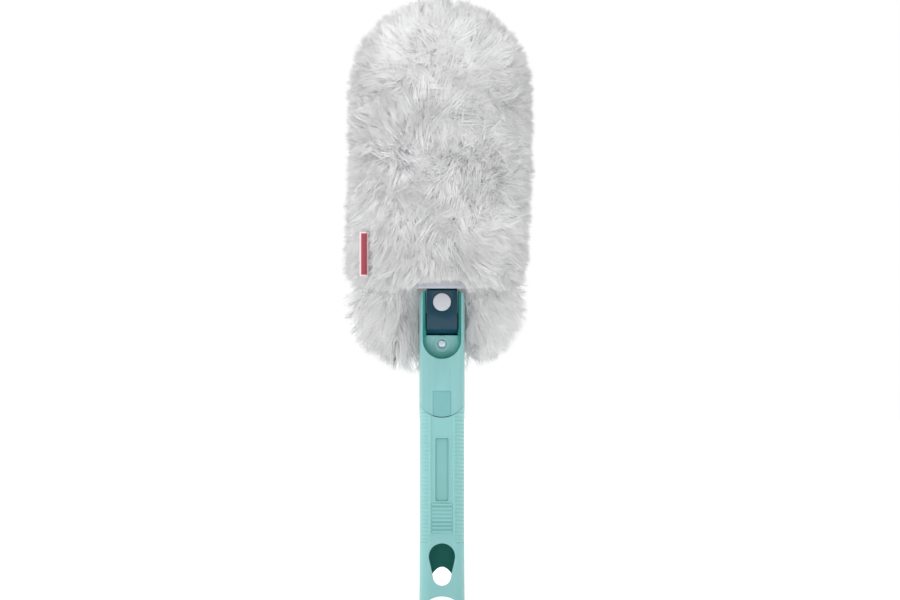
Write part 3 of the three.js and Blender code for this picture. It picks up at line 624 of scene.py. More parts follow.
def prism(outline: Outline, axis: Axis, low: float, high: float) -> Solid:
    """Extrudes a flat outline.

    Args:
        outline: Points in the plane across the axis.
        axis: Direction of the prism.
        low: Start along the axis.
        high: End along it.

    Returns:
        The closed prism.
    """
    first, second, third = axis.value
    bm = bmesh.new()
    verts = []
    for a, b in outline:
        point = Vector((0.0, 0.0, 0.0))
        point[first], point[second], point[third] = a, b, low
        verts.append(bm.verts.new(point))
    face = bm.faces.new(verts)
    grown = bmesh.ops.extrude_face_region(bm, geom=[face])
    move = Vector((0.0, 0.0, 0.0))
    move[third] = high - low
    moved = [item for item in grown["geom"] if isinstance(item, bmesh.types.BMVert)]
    bmesh.ops.translate(bm, verts=moved, vec=move)
    bmesh.ops.recalc_face_normals(bm, faces=bm.faces)
    return bm


def arc(centre: Point, radius: float, start: float, end: float, steps: int) -> list[Point]:
    """Lists points on an arc.

    Args:
        centre: Centre of the arc.
        radius: Its radius.
        start: First angle in degrees.
        end: Last angle in degrees.
        steps: Number of chords.

    Returns:
        The points, both ends included.
    """
    angles = [math.radians(start + (end - start) * i / steps) for i in range(steps + 1)]
    return [(centre[0] + radius * math.cos(a), centre[1] + radius * math.sin(a)) for a in angles]


def bow(half: float, rise: float) -> tuple[float, float]:
    """Gives the radius of a shallow arc and half its angle.

    Args:
        half: Half the width of the arc.
        rise: Its rise.

    Returns:
        The radius and the half angle in degrees.
    """
    radius = (half**2 + rise**2) / (2 * rise)
    return radius, math.degrees(math.asin(half / radius))


def turned(profile: Outline, height: float, steps: int = 40) -> Solid:
    """Turns a profile about a front-to-back axis.

    Args:
        profile: Radius and depth of each point, from the axis back to the axis.
        height: Height of the axis.
        steps: Faces round the axis.

    Returns:
        The closed solid.
    """
    bm = bmesh.new()
    verts = [bm.verts.new((x, y, height)) for x, y in profile]
    edges = [bm.edges.new(pair) for pair in zip(verts, verts[1:])]
    bmesh.ops.spin(
        bm,
        geom=verts + edges,
        cent=(0.0, 0.0, height),
        axis=(0.0, 1.0, 0.0),
        angle=math.tau,
        steps=steps,
        use_merge=True,
    )
    bmesh.ops.remove_doubles(bm, verts=bm.verts, dist=JOINED)
    bmesh.ops.recalc_face_normals(bm, faces=bm.faces)
    return bm


def carve(bm: Solid, cutters: Iterable[Solid]) -> Solid:
    """Cuts shapes out of a solid.

    Args:
        bm: The solid, which is freed.
        cutters: What is cut out, freed too.

    Returns:
        The carved solid.
    """
    scene = bpy.context.scene
    made = []
    for index, shape in enumerate([bm, *cutters]):
        mesh = bpy.data.meshes.new(f"carve_{index}")
        shape.to_mesh(mesh)
        shape.free()
        made.append(bpy.data.objects.new(f"carve_{index}", mesh))
        scene.collection.objects.link(made[-1])
    for cutter in made[1:]:
        cut = made[0].modifiers.new(cutter.name, "BOOLEAN")
        cut.operation = "DIFFERENCE"
        cut.solver = "EXACT"
        cut.object = cutter
    graph = bpy.context.evaluated_depsgraph_get()
    carved = bmesh.new()
    carved.from_object(made[0], graph)
    for item in made:
        mesh = item.data
        bpy.data.objects.remove(item)
        bpy.data.meshes.remove(mesh)
    return carved


def soften(bm: Solid, width: float, wanted: EdgeTest, degrees: float = ROUNDED) -> None:
    """Rounds the sharp edges of a solid.

    Args:
        bm: The solid.
        width: Width of the rounding.
        wanted: Says whether an edge with this middle is rounded.
        degrees: Least angle of an edge that is rounded.
    """
    limit = math.radians(degrees)
    sharp = []
    for edge in bm.edges:
        if edge.is_manifold and edge.calc_face_angle() > limit:
            if wanted((edge.verts[0].co + edge.verts[1].co) / 2):
                sharp.append(edge)
    bmesh.ops.bevel(
        bm,
        geom=sharp,
        offset=width,
        offset_type="OFFSET",
        affect="EDGES",
        segments=2,
        profile=0.5,
        material=-1,
        clamp_overlap=True,
    )


def everywhere(_: Vector) -> bool:
    """Accepts every edge."""
    return True


def refined(node: str, width: float, wanted: EdgeTest = everywhere, flat_degrees: float = 0.5) -> Solid:
    """Copies a rigid node's solid, joins its flat facets and rounds its edges.

    Args:
        node: Name of the node.
        width: Width of the rounding.
        wanted: Says which edges are rounded.
        flat_degrees: Facets that turn by less become one face.

    Returns:
        The refined solid.
    """
    bm = bmesh.new()
    bm.from_mesh(frame["nodes"][node].data)
    bmesh.ops.remove_doubles(bm, verts=bm.verts, dist=JOINED)
    limit = math.radians(flat_degrees)
    bmesh.ops.dissolve_limit(
        bm, angle_limit=limit, verts=bm.verts, edges=bm.edges, use_dissolve_boundaries=False
    )
    soften(bm, width, wanted)
    return bm


def dress(node: str, material: Material) -> None:
    """Gives a kept node its finished material.

    Args:
        node: Name of the node.
        material: Its material.
    """
    mesh = frame["nodes"][node].data
    mesh.materials.clear()
    mesh.materials.append(material)


# Each moulding's second colour is painted shade, mixed into hollows, creases and marked faces
PAINTED_SHADE_GREEN = linear(14, 138, 128)
MINT = MouldedPlastic("mint_moulding", linear(134, 188, 187), PAINTED_SHADE_GREEN, gloss=0.36, shine=0.28)
# A darker copy of the mint moulding for the neck: painted shade
SHADED_NECK_MINT = MouldedPlastic("shaded_neck_moulding", linear(128, 177, 177), PAINTED_SHADE_GREEN, gloss=0.36, shine=0.28)
DEEP_MINT = MouldedPlastic(
    "deep_mint_moulding", linear(113, 167, 167), PAINTED_SHADE_GREEN, gloss=0.42, shine=0.28
)
PETROL = MouldedPlastic("petrol_moulding", linear(4, 55, 73), linear(4, 44, 54), gloss=0.24, shine=0.36)
PALE = MouldedPlastic("pale_button", linear(186, 189, 196), linear(150, 154, 160), gloss=0.3)
NYLON = MouldedPlastic("dark_nylon", linear(34, 84, 80), linear(16, 60, 56), gloss=0.4)
ZINC = PlatedSteel("zinc_plate", linear(205, 216, 230), roughness=0.44)
SPRING = PlatedSteel("spring_wire", linear(185, 189, 195), roughness=0.25)
FIBRE = FleeceFibre("fleece_fibre")
BACKING = KnitBacking("knit_backing", linear(228, 229, 232))
TAPE = WovenTape("hem_tape", linear(186, 187, 196))


@dataclass
class Grip:
    """Hollow grip with ribbed sides, thumb ribs, a bare panel and an egg-shaped hole."""

    panel: float = 9.0 * MM
    wall: float = 2.8 * MM
    seam_rise: float = 9.75 * MM
    end_rise: float = 9.75 * MM
    end_land: float = 1.5 * MM
    seat: float = 58.0 * MM
    ribs_low: float = 49.5 * MM
    ribs_high: float = 147.0 * MM
    rib_pitch: float = 2.87 * MM
    rib_depth: float = 0.42 * MM
    rib_fade: float = 1.2 * MM
    thumb_low: float = 57.5 * MM
    thumb_pitch: float = 2.85 * MM
    thumb_count: int = 8
    thumb_half: float = 7.5 * MM
    thumb_height: float = 0.6 * MM
    thumb_share: float = 0.55
    bead_low: float = 55.0 * MM
    bead_high: float = 147.0 * MM
    bead_height: float = 0.85 * MM
    bead_half: float = 1.7 * MM
    bead_end: float = 2.0 * MM
    frame_half: float = 4.8 * MM
    frame_low: float = 81.0 * MM
    frame_high: float = 128.0 * MM
    frame_width: float = 1.0 * MM
    frame_height: float = 0.4 * MM
    frame_lap: float = 0.2
    panel_corner: float = 1.5 * MM
    panel_depth: float = 0.5 * MM
    panel_floor: float = 0.8 * MM
    panel_painted_shade: float = 0.14
    notch_half: float = 13.2 * MM
    notch_rise: float = 30.0 * MM
    notch_shoulder: float = 12.6 * MM
    egg_wide: float = 9.85 * MM
    egg_narrow: float = 6.5 * MM
    egg_low: float = 24.2 * MM
    egg_high: float = 39.65 * MM
    rim_half: float = 10.5 * MM
    rim_low: float = 15.0 * MM
    rim_high: float = 51.0 * MM
    rim_depth: float = 0.4 * MM
    rim_rounding: float = 0.5 * MM
    seam_near: float = 0.1 * MM
    seam_skin: float = 0.92
    seam_rounding: float = 0.35 * MM
    plug_gap: float = 0.3 * MM
    plug_corner: float = 7.0 * MM
    past: float = 4.0 * MM
    steep: float = 4.0
    side_share: float = 0.5
    side_turn: float = 0.35
    around: int = 176
    bore_sides: int = 64
    step: float = 0.47 * MM
    sharp_degrees: float = 40.0

    def __post_init__(self) -> None:
        """Takes the overall sizes from the frame."""
        _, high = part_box("grip_shell")
        self.half_width = high.x
        self.half_depth = high.y
        self.top = high.z
        self.seam = self.top - self.seam_rise

    def section(self, share: float, inset: float = 0.0) -> tuple[float, float]:
        """Gives a point of the outline: flat panels joined by elliptical sides.

        Args:
            share: Share of the way round, from the middle of the right side.
            inset: Distance inside the outer surface.

        Returns:
            The point's x and y.
        """
        quarter, part = divmod(share * 4, 1)
        side = self.half_width - self.panel - inset
        depth = self.half_depth - inset
        if quarter in (1, 3):
            part = 1 - part
        if part < self.side_share:
            angle = part / self.side_share * math.pi / 2
            x, y = self.panel + side * math.cos(angle), depth * math.sin(angle)
        else:
            x, y = self.panel * (1 - (part - self.side_share) / (1 - self.side_share)), depth
        return (x if quarter in (0, 3) else -x), (y if quarter in (0, 1) else -y)

    def relief(self, x: float, y: float, z: float) -> float:
        """Gives the height of the surface relief.

        Args:
            x: Place across.
            y: Place in depth.
            z: Place along the handle.

        Returns:
            Height above the plain outline.
        """
        height = 0.0
        if abs(x) > self.panel and self.ribs_low < z < self.ribs_high:
            wave = math.cos((z - self.ribs_low) / self.rib_pitch * math.tau)
            fade = min(1.0, (abs(x) - self.panel) / self.rib_fade)
            height -= self.rib_depth * (0.5 + 0.5 * wave) * fade
        if y < 0 and abs(x) <= self.thumb_half:
            row, place = divmod((z - self.thumb_low) / self.thumb_pitch, 1)
            if 0 <= row < self.thumb_count and place < self.thumb_share:
                bulge = math.sin(place / self.thumb_share * math.pi)
                height += self.thumb_height * min(1.0, self.steep * bulge)
        if y < 0 and self.bead_low < z < self.bead_high:
            near = max(0.0, 1 - abs(abs(x) - self.panel) / self.bead_half)
            ends = min(z - self.bead_low, self.bead_high - z) / self.bead_end
            height += self.bead_height * near**2 * (3 - 2 * near) * min(1.0, ends)
        if y < 0:
            outside = max(abs(x) - self.frame_half, self.frame_low - z, z - self.frame_high)
            share = outside / self.frame_width
            if -self.frame_lap < share < 1.0:
                height += self.frame_height * min(1.0, self.steep * (1 - share))
        return height

    def skin(self) -> Solid:
        """Makes the outer skin with its relief.

        Returns:
            A closed tube past both ends of the grip.
        """
        along = round(self.top / self.step)

        def place(share: float, row: float) -> Vector:
            """Puts one point on the skin.

            Args:
                share: Share of the way round.
                row: Number of the ring.

            Returns:
                The point.
            """
            z = self.top * row / along
            x, y = self.section(share)
            lift = self.relief(x, y, z)
            beside = max(0.0, abs(x) - self.panel) * math.copysign(1, x)
            outward = Vector((beside, y * self.side_turn, 0.0))
            if abs(x) <= self.panel:
                outward = Vector((0.0, y, 0.0))
            return Vector((x, y, z)) + outward.normalized() * lift

        return tube(self.around, along, place)

    def bore(self, low: float, high: float, inset: float) -> Solid:
        """Makes a plain inner shape of the grip's section.

        Args:
            low: Its lower end.
            high: Its upper end.
            inset: Distance inside the outer surface.

        Returns:
            The cutter.
        """
        outline = [self.section(i / self.bore_sides, inset) for i in range(self.bore_sides)]
        return prism(outline, Axis.Z, low, high)

    def through(self, outline: Outline) -> Solid:
        """Makes a cutter from front to back."""
        return prism(outline, Axis.Y, -self.half_depth - self.past, self.half_depth + self.past)

    def seam_cut(self) -> Solid:
        """Makes what lies above the curved seam.

        Returns:
            The cutter.
        """
        half, past, top = self.half_width, self.past, self.top
        radius, reach = bow(half, self.seam_rise)
        curve = arc((0.0, self.seam + radius), radius, -90 - reach, -90 + reach, steps=32)
        outline = [(-half - past, top), *curve, (half + past, top)]
        return self.through([*outline, (half + past, top + past), (-half - past, top + past)])

    def end_cut(self) -> Solid:
        """Makes the arch that is cut out of the open end.

        Returns:
            The cutter.
        """
        half, rise = self.half_width - self.end_land, self.end_rise
        radius, reach = bow(half, rise)
        curve = arc((0.0, rise - radius), radius, 90 - reach, 90 + reach, steps=28)
        return self.through([(-half, -self.past), (half, -self.past), *curve])

    def notch_cut(self) -> Solid:
        """Makes the deeper notch that is cut out of the back wall.

        Returns:
            The cutter.
        """
        half, rise, steps = self.notch_half, self.notch_rise, 24
        outline = [(-half, -self.past), (half, -self.past)]
        for i in range(steps + 1):
            x = half * (1 - 2 * i / steps)
            outline.append((x, rise - (rise - self.notch_shoulder) * (x / half) ** 2))
        return prism(outline, Axis.Y, 0.0, self.half_depth + self.past)

    def egg_cut(self) -> Solid:
        """Makes the egg-shaped hole of the front wall, wide end up.

        Returns:
            The cutter.
        """
        wide, narrow = self.egg_wide, self.egg_narrow
        lean = math.degrees(math.asin((wide - narrow) / (self.egg_high - self.egg_low)))
        outline = arc((0.0, self.egg_high), wide, -lean, 180 + lean, steps=36)
        outline += arc((0.0, self.egg_low), narrow, 180 + lean, 360 - lean, steps=24)
        return prism(outline, Axis.Y, -self.half_depth - self.past, 0.0)

    def panel_cut(self) -> Solid:
        """Makes the shallow recess of the bare panel.

        Returns:
            The cutter.
        """
        corner = self.panel_corner
        side, low, high = self.frame_half - corner, self.frame_low + corner, self.frame_high - corner
        outline = []
        for turn, centre in enumerate(((side, low), (side, high), (-side, high), (-side, low))):
            outline += arc(centre, corner, 90 * turn - 90, 90 * turn, steps=4)
        front = -self.half_depth
        return prism(outline, Axis.Y, front - self.past / 2, front + self.panel_depth)

    def mark_panel(self, mesh: Mesh) -> None:
        """Marks the floor of the bare panel for a little painted shade in its recess.

        Args:
            mesh: Mesh of the grip.
        """
        layer = mesh.attributes.new("painted_shade_mark", "FLOAT", "FACE")
        for face, mark in zip(mesh.polygons, layer.data):
            x, y, z = face.center
            inside = abs(x) < self.frame_half and self.frame_low < z < self.frame_high
            floor = y < self.panel_floor - self.half_depth
            mark.value = self.panel_painted_shade if inside and floor else 0.0

    def on_hole_rim(self, point: Vector) -> bool:
        """Says whether a point lies on the front rim of the egg-shaped hole."""
        near = abs(point.x) < self.rim_half and self.rim_low < point.z < self.rim_high
        return near and point.y < self.rim_depth - self.half_depth

    def on_seam(self, point: Vector) -> bool:
        """Says whether a point lies on the outer edge of the curved seam.

        Args:
            point: The point.

        Returns:
            True on that edge.
        """
        radius, _ = bow(self.half_width, self.seam_rise)
        away = abs(math.hypot(point.x, point.z - self.seam - radius) - radius)
        across = max(0.0, abs(point.x) - self.panel) / (self.half_width - self.panel)
        outer = math.hypot(across, point.y / self.half_depth) > self.seam_skin
        return away < self.seam_near and outer

    def plug_cut(self) -> Solid:
        """Makes the rounded socket of the inner plug.

        Returns:
            The cutter.
        """
        low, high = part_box("grip_plug")
        gap = self.plug_gap
        left, right = low.x - gap, high.x + gap
        front, back = low.y - gap, high.y + gap
        outline = [(left, front), (right, front), (right, back), (left, back)]
        socket = prism(outline, Axis.Z, low.z - gap, self.top + self.past)
        bmesh.ops.bevel(
            socket,
            geom=[e for e in socket.edges if abs(e.verts[0].co.z - e.verts[1].co.z) > MM],
            offset=self.plug_corner,
            affect="EDGES",
            segments=8,
            profile=0.5,
            material=-1,
        )
        return socket

    def build(self) -> None:
        """Builds the grip."""
        cutters = [self.bore(-self.past, self.seat, self.wall), self.plug_cut(), self.seam_cut()]
        cutters += [self.end_cut(), self.notch_cut(), self.egg_cut(), self.panel_cut()]
        bm = carve(self.skin(), cutters)
        soften(bm, self.rim_rounding, self.on_hole_rim)
        soften(bm, self.seam_rounding, self.on_seam)
        mesh = mesh_of(bm, "grip", self.sharp_degrees)
        self.mark_panel(mesh)
        piece = make_piece("grip", mesh, Body.GRIP, MINT.material())
        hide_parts("grip_shell")


@dataclass
class Neck:
    """Neck with its back cover, click pad and screw."""

    rounding: float = 0.45 * MM
    wall_reach: float = 1.6 * MM
    wall_below: float = 9.0 * MM
    wall_turn: float = 0.25
    pad_growth: float = 0.2 * MM
    pad_rounding: float = 0.1 * MM
    pad_face: float = 1.0 * MM
    pad_edge: float = 0.5 * MM
    slot_gap: float = 1.0 * MM
    boss_seat: float = 2.2 * MM
    boss_profile: Outline = ((0.0, -0.5), (5.3, -0.5), (6.0, -0.3), (6.3, 0.2), (6.3, 0.8), (0.0, 0.8))
    head_profile: Outline = ((0.0, 0.0), (0.55, 0.15), (0.86, 0.7), (1.0, 1.4), (1.0, 1.9))
    shank: float = 1.5 * MM
    shank_tip: float = 0.9 * MM
    shank_taper: float = 0.6 * MM
    cross_long: float = 1.9 * MM
    cross_wide: float = 0.4 * MM
    cross_depth: float = 0.6 * MM
    past: float = 1.0 * MM

    def build(self) -> None:
        """Builds the neck's pieces."""
        mint = SHADED_NECK_MINT.material()
        for node, name in (("neck_housing", "neck"), ("neck_back_cover", "neck_back")):
            mesh = mesh_of(refined(node, self.rounding, self.off_click_slot), name)
            self.mark_walls(mesh)
            piece = make_piece(name, mesh, Body.NECK, mint)
            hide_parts(node)
        solid, deep_mint = self.fitted_pad(), DEEP_MINT.material()
        pad = make_solid("click_pad", solid, Body.CLICK_PAD, deep_mint)
        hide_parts("click_button")
        self.boss(mint)
        self.screw()

    def fitted_pad(self) -> Solid:
        """Makes the click pad, whose face nearly fills its slot.

        Returns:
            The pad.
        """
        low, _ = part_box("click_button")
        bm = refined("click_button", self.pad_rounding)
        face = [vert for vert in bm.verts if vert.co.y < low.y + self.pad_face]
        edge = max(vert.co.x for vert in face)
        top = max(vert.co.z for vert in face)
        for vert in face:
            if abs(vert.co.x) > edge - self.pad_edge:
                vert.co.x += math.copysign(self.pad_growth, vert.co.x)
            if vert.co.z > top - self.pad_edge:
                vert.co.z += self.pad_growth
        return bm

    def mark_walls(self, mesh: Mesh) -> None:
        """Marks the faces of the walls beside the knuckle for painted shade, as they lie in its shade.

        Args:
            mesh: Mesh of the neck.
        """
        knuckle_low, knuckle_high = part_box("hinge_knuckle")
        floor = knuckle_low.z - self.wall_below
        layer = mesh.attributes.new("painted_shade_mark", "FLOAT", "FACE")
        for face, mark in zip(mesh.polygons, layer.data):
            middle = face.center
            inward = -face.normal.x * math.copysign(1.0, middle.x)
            beside = abs(middle.x) < knuckle_high.x + self.wall_reach and middle.z > floor
            mark.value = 1.0 if beside and inward > self.wall_turn and middle.y < 0 else 0.0

    def off_click_slot(self, point: Vector) -> bool:
        """Says whether a point lies away from the slot of the click pad.

        Args:
            point: The point.

        Returns:
            True away from the slot.
        """
        (left, _, _), (right, _, top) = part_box("click_button")
        beside = left - self.slot_gap < point.x < right + self.slot_gap
        return not (beside and point.y < 0 and point.z < top + self.slot_gap)

    def boss(self, mint: Material) -> None:
        """Builds the low round boss under the screw.

        Args:
            mint: Material of the neck.
        """
        low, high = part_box("neck_screw")
        middle = (low.z + high.z) / 2
        seat = low.y + self.boss_seat
        profile = [(radius * MM, seat + depth * MM) for radius, depth in self.boss_profile]
        make_solid("screw_boss", turned(profile, middle), Body.NECK, mint)

    def screw(self) -> None:
        """Builds the pan-head screw with its cross recess."""
        low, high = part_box("neck_screw")
        radius = (high.x - low.x) / 2
        middle = (low.z + high.z) / 2
        profile = [(radius * share, low.y + depth * MM) for share, depth in self.head_profile]
        profile += [(self.shank, profile[-1][1]), (self.shank, high.y - self.shank_taper)]
        profile += [(self.shank_tip, high.y), (0.0, high.y)]
        arms = []
        for wide, tall in ((self.cross_long, self.cross_wide), (self.cross_wide, self.cross_long)):
            bottom, top = middle - tall, middle + tall
            outline = [(-wide, bottom), (wide, bottom), (wide, top), (-wide, top)]
            arms.append(prism(outline, Axis.Y, low.y - self.past, low.y + self.cross_depth))
        bm = carve(turned(profile, middle), arms)
        piece = make_solid("screw", bm, Body.NECK, ZINC.material())
        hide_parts("neck_screw")


@dataclass
class Spring:
    """Wound spring, built in the place of its node."""

    node: str
    body: Body
    joint: str
    travel: float
    wire: float
    turns: int
    upright: bool = False
    steps_in_turn: int = 20
    sides: int = 8

    def coil(self, radius: float, length: float) -> Solid:
        """Winds the wire upwards from the origin.

        Args:
            radius: Radius of the coil at the wire's middle.
            length: Length of the spring.

        Returns:
            The closed coil.
        """
        bm = bmesh.new()
        lay = Matrix.Translation((radius, 0.0, self.wire / 2))
        lay @= Matrix.Rotation(math.pi / 2, 4, "X")
        bmesh.ops.create_circle(bm, segments=self.sides, radius=self.wire / 2, matrix=lay)
        steps = self.turns * self.steps_in_turn
        bmesh.ops.spin(
            bm,
            geom=bm.verts[:] + bm.edges[:],
            cent=(0.0, 0.0, 0.0),
            axis=(0.0, 0.0, 1.0),
            dvec=(0.0, 0.0, (length - self.wire) / steps),
            angle=self.turns * math.tau,
            steps=steps,
        )
        bmesh.ops.holes_fill(bm, edges=[e for e in bm.edges if e.is_boundary], sides=0)
        bmesh.ops.recalc_face_normals(bm, faces=bm.faces)
        return bm

    def build(self, steel: Material) -> None:
        """Builds the spring in its place.

        Args:
            steel: Material of the wire.
        """
        low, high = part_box(self.node)
        middle = (low + high) / 2
        length = high.z - low.z if self.upright else high.y - low.y
        bm = self.coil((high.x - low.x - self.wire) / 2, length)
        if self.upright:
            lay = Matrix.Translation((middle.x, middle.y, low.z))
            axis, anchor = (0.0, 0.0, 1.0), (middle.x, middle.y, high.z)
        else:
            lay = Matrix.Translation((middle.x, low.y, middle.z))
            lay @= Matrix.Rotation(-math.pi / 2, 4, "X")
            axis, anchor = (0.0, 1.0, 0.0), (middle.x, high.y, middle.z)
        bmesh.ops.transform(bm, matrix=lay, verts=bm.verts)
        name = f"{self.node}_coil"
        piece = make_solid(name, bm, self.body, steel, SOFT)
        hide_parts(self.node)
        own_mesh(piece)
        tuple(axis)
        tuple(anchor)


@dataclass
class TiltJoint:
    """Knuckle, lock button and the small pieces of the tilt joint."""

    rounding: float = 0.3 * MM
    edge_rounding: float = 1.5 * MM
    edge_near: float = 0.2 * MM
    edge_front: float = 8.5 * MM

    def on_long_edge(self, point: Vector) -> bool:
        """Says whether a point lies on an upright front edge of the knuckle."""
        _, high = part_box("hinge_knuckle")
        return abs(point.x) > high.x - self.edge_near and point.y < -self.edge_front

    def build(self) -> None:
        """Builds and dresses the joint's pieces."""
        petrol = PETROL.material()
        solid = refined("hinge_knuckle", self.edge_rounding, self.on_long_edge)
        soften(solid, self.rounding, everywhere)
        knuckle = make_solid("knuckle", solid, Body.HEAD, petrol)
        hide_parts("hinge_knuckle")
        solid = refined("lock_button", self.rounding)
        button = make_solid("lock_button_cap", solid, Body.BUTTON, PALE.material())
        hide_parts("lock_button")
        dress("frame_paddle", petrol)
        dress("grip_plug", petrol)
        steel = SPRING.material()
        springs = (
            Spring("click_spring", Body.GRIP, "click_press", travel=3.0 * MM, wire=0.6 * MM, turns=3),
            Spring("button_spring", Body.HEAD, "lock_press", travel=2.2 * MM, wire=0.45 * MM, turns=2),
            Spring(
                "plunger_spring",
                Body.HEAD,
                "plunger_lift",
                travel=1.32 * MM,
                wire=0.5 * MM,
                turns=3,
                upright=True,
            ),
        )
        for spring in springs:
            spring.build(steel)
        zinc = bpy.data.materials[ZINC.name]
        for node in ("pivot_pin_left", "pivot_pin_right", "tang_pin"):
            dress(node, zinc)
        nylon = NYLON.material()
        for node in ("lock_plunger", "friction_washer_left", "friction_washer_right"):
            dress(node, nylon)


@dataclass
class Strands:
    """Soft strands as closed, tapered, three-sided tubes."""

    widths: tuple[float, ...] = (0.36 * MM, 0.4 * MM)
    shares: tuple[float, ...] = (0.0, 0.55)
    flatness: float = 0.55
    # Painted shade: strands darker towards their roots
    root_shade: float = 0.96
    softness: float = 0.72
    face_softness: float = 0.97
    face_power: float = 1.5
    tone: tuple[float, float, float] = (0.995, 0.997, 1.0)
    limit: int = 19000

    def points(self, root: np.ndarray, bend: np.ndarray, tip: np.ndarray, share: float) -> np.ndarray:
        """Gives the points at one share of the way from root to tip."""
        return (1 - share) ** 2 * root + 2 * share * (1 - share) * bend + share**2 * tip

    def mesh(self, name: str, tuft: Tuft, rng: np.random.Generator) -> Mesh:
        """Builds one mesh of strands.

        Args:
            name: Name of the mesh.
            tuft: Root, bend and tip of each strand, its brightness and the backing's normal under it.
            rng: Random numbers.

        Returns:
            The mesh.
        """
        root, bend, tip = tuft["root"], tuft["bend"], tuft["tip"]
        count, size = len(root), len(self.shares) * 3 + 1
        along = unit(tip - root)
        side = unit(np.cross(along, rng.normal(size=(count, 3))))
        other = np.cross(along, side)
        corners = np.empty((count, size, 3))
        normals = np.empty_like(corners)
        shades = np.empty((count, size))
        for ring, (share, width) in enumerate(zip(self.shares, self.widths)):
            centre = self.points(root, bend, tip, share)
            for corner in range(3):
                angle = corner * math.tau / 3
                index = ring * 3 + corner
                across = math.cos(angle) * side
                corners[:, index] = centre + width * (across + self.flatness * math.sin(angle) * other)
                normals[:, index] = across + math.sin(angle) * other
                # Painted shade, darker towards the root
                shades[:, index] = self.root_shade + (1 - self.root_shade) * share
        corners[:, -1] = tip
        normals[:, -1] = along
        shades[:, -1] = 1.0
        faces = self.faces() + (np.arange(count) * size)[:, None, None]
        mesh = bpy.data.meshes.new(name)
        mesh.vertices.add(count * size)
        mesh.vertices.foreach_set("co", corners.ravel())
        mesh.loops.add(faces.size)
        mesh.loops.foreach_set("vertex_index", faces.ravel())
        mesh.polygons.add(faces.size // 3)
        mesh.polygons.foreach_set("loop_start", np.arange(0, faces.size, 3))
        mesh.update(calc_edges=True)
        mesh.shade_smooth()
        flat = np.abs(tuft["ground"][:, 1]) ** self.face_power
        soft = (self.softness + (self.face_softness - self.softness) * flat)[:, None, None]
        normals = (1 - soft) * normals + soft * tuft["ground"][:, None, :]
        mesh.normals_split_custom_set_from_vertices(unit(normals.reshape(-1, 3)))
        colours = np.ones((count, size, 4))
        colours[:, :, :3] = (shades * tuft["tint"][:, None])[:, :, None] * np.array(self.tone)
        layer = mesh.color_attributes.new("shade", "FLOAT_COLOR", "POINT")
        layer.data.foreach_set("color", colours.ravel())
        return mesh

    def faces(self) -> np.ndarray:
        """Lists the triangles of one strand.

        Returns:
            Vertex numbers, one row for each triangle.
        """
        rings = len(self.shares)
        found = [(0, 2, 1)]
        for ring in range(rings - 1):
            for corner in range(3):
                a, b = ring * 3 + corner, ring * 3 + (corner + 1) % 3
                found += [(a, b, b + 3), (a, b + 3, a + 3)]
        last = (rings - 1) * 3
        found += [(last + c, last + (c + 1) % 3, rings * 3) for c in range(3)]
        return np.array(found)


def unit(vectors: np.ndarray) -> np.ndarray:
    """Scales each row to a length of 1."""
    return vectors / np.maximum(np.linalg.norm(vectors, axis=1, keepdims=True), TINY)


# Painted light and shade on the pile by height: brighter at the top, painted shade in the middle of the
# panel and at its lower edge
UPPER_PAINTED_LIGHT = (
    (0.25, 0.87),
    (0.27, 0.95),
    (0.29, 1.0),
    (0.33, 0.955),
    (0.37, 0.905),
    (0.39, 0.955),
    (0.41, 1.07),
    (0.45, 1.05),
)
# Painted light at the top of the lower tier, which lies under the upper tier, and a little darker below
LOWER_PAINTED_LIGHT = ((0.22, 0.97), (0.24, 1.13))


@dataclass(frozen=True)
class Scatter:
    """How unevenly the tufts and their strands grow, lean, are cut and take the light."""

    flow: float = 0.3
    lean: float = 11.0
    length: float = 0.05
    tilt: float = 0.08
    bend: float = 0.9 * MM
    tip: float = 0.6 * MM
    tuft_tint: float = 0.014
    strand_tint: float = 0.009
    tuft_cut: float = 0.06
    strand_cut: float = 0.025
    under_cut: float = 0.03


@dataclass
class Tier:
    """One tier of pile: its backing, the flow of its tufts and the outline it is trimmed to."""

    name: str
    backing: Mesh
    fan: Point
    lean: Point
    length: float
    outline: Callable[[np.ndarray], np.ndarray]
    front_floor: float
    # Painted light and shade by height: heights and brightness factors
    tone: Outline
    swirl: float = 0.6


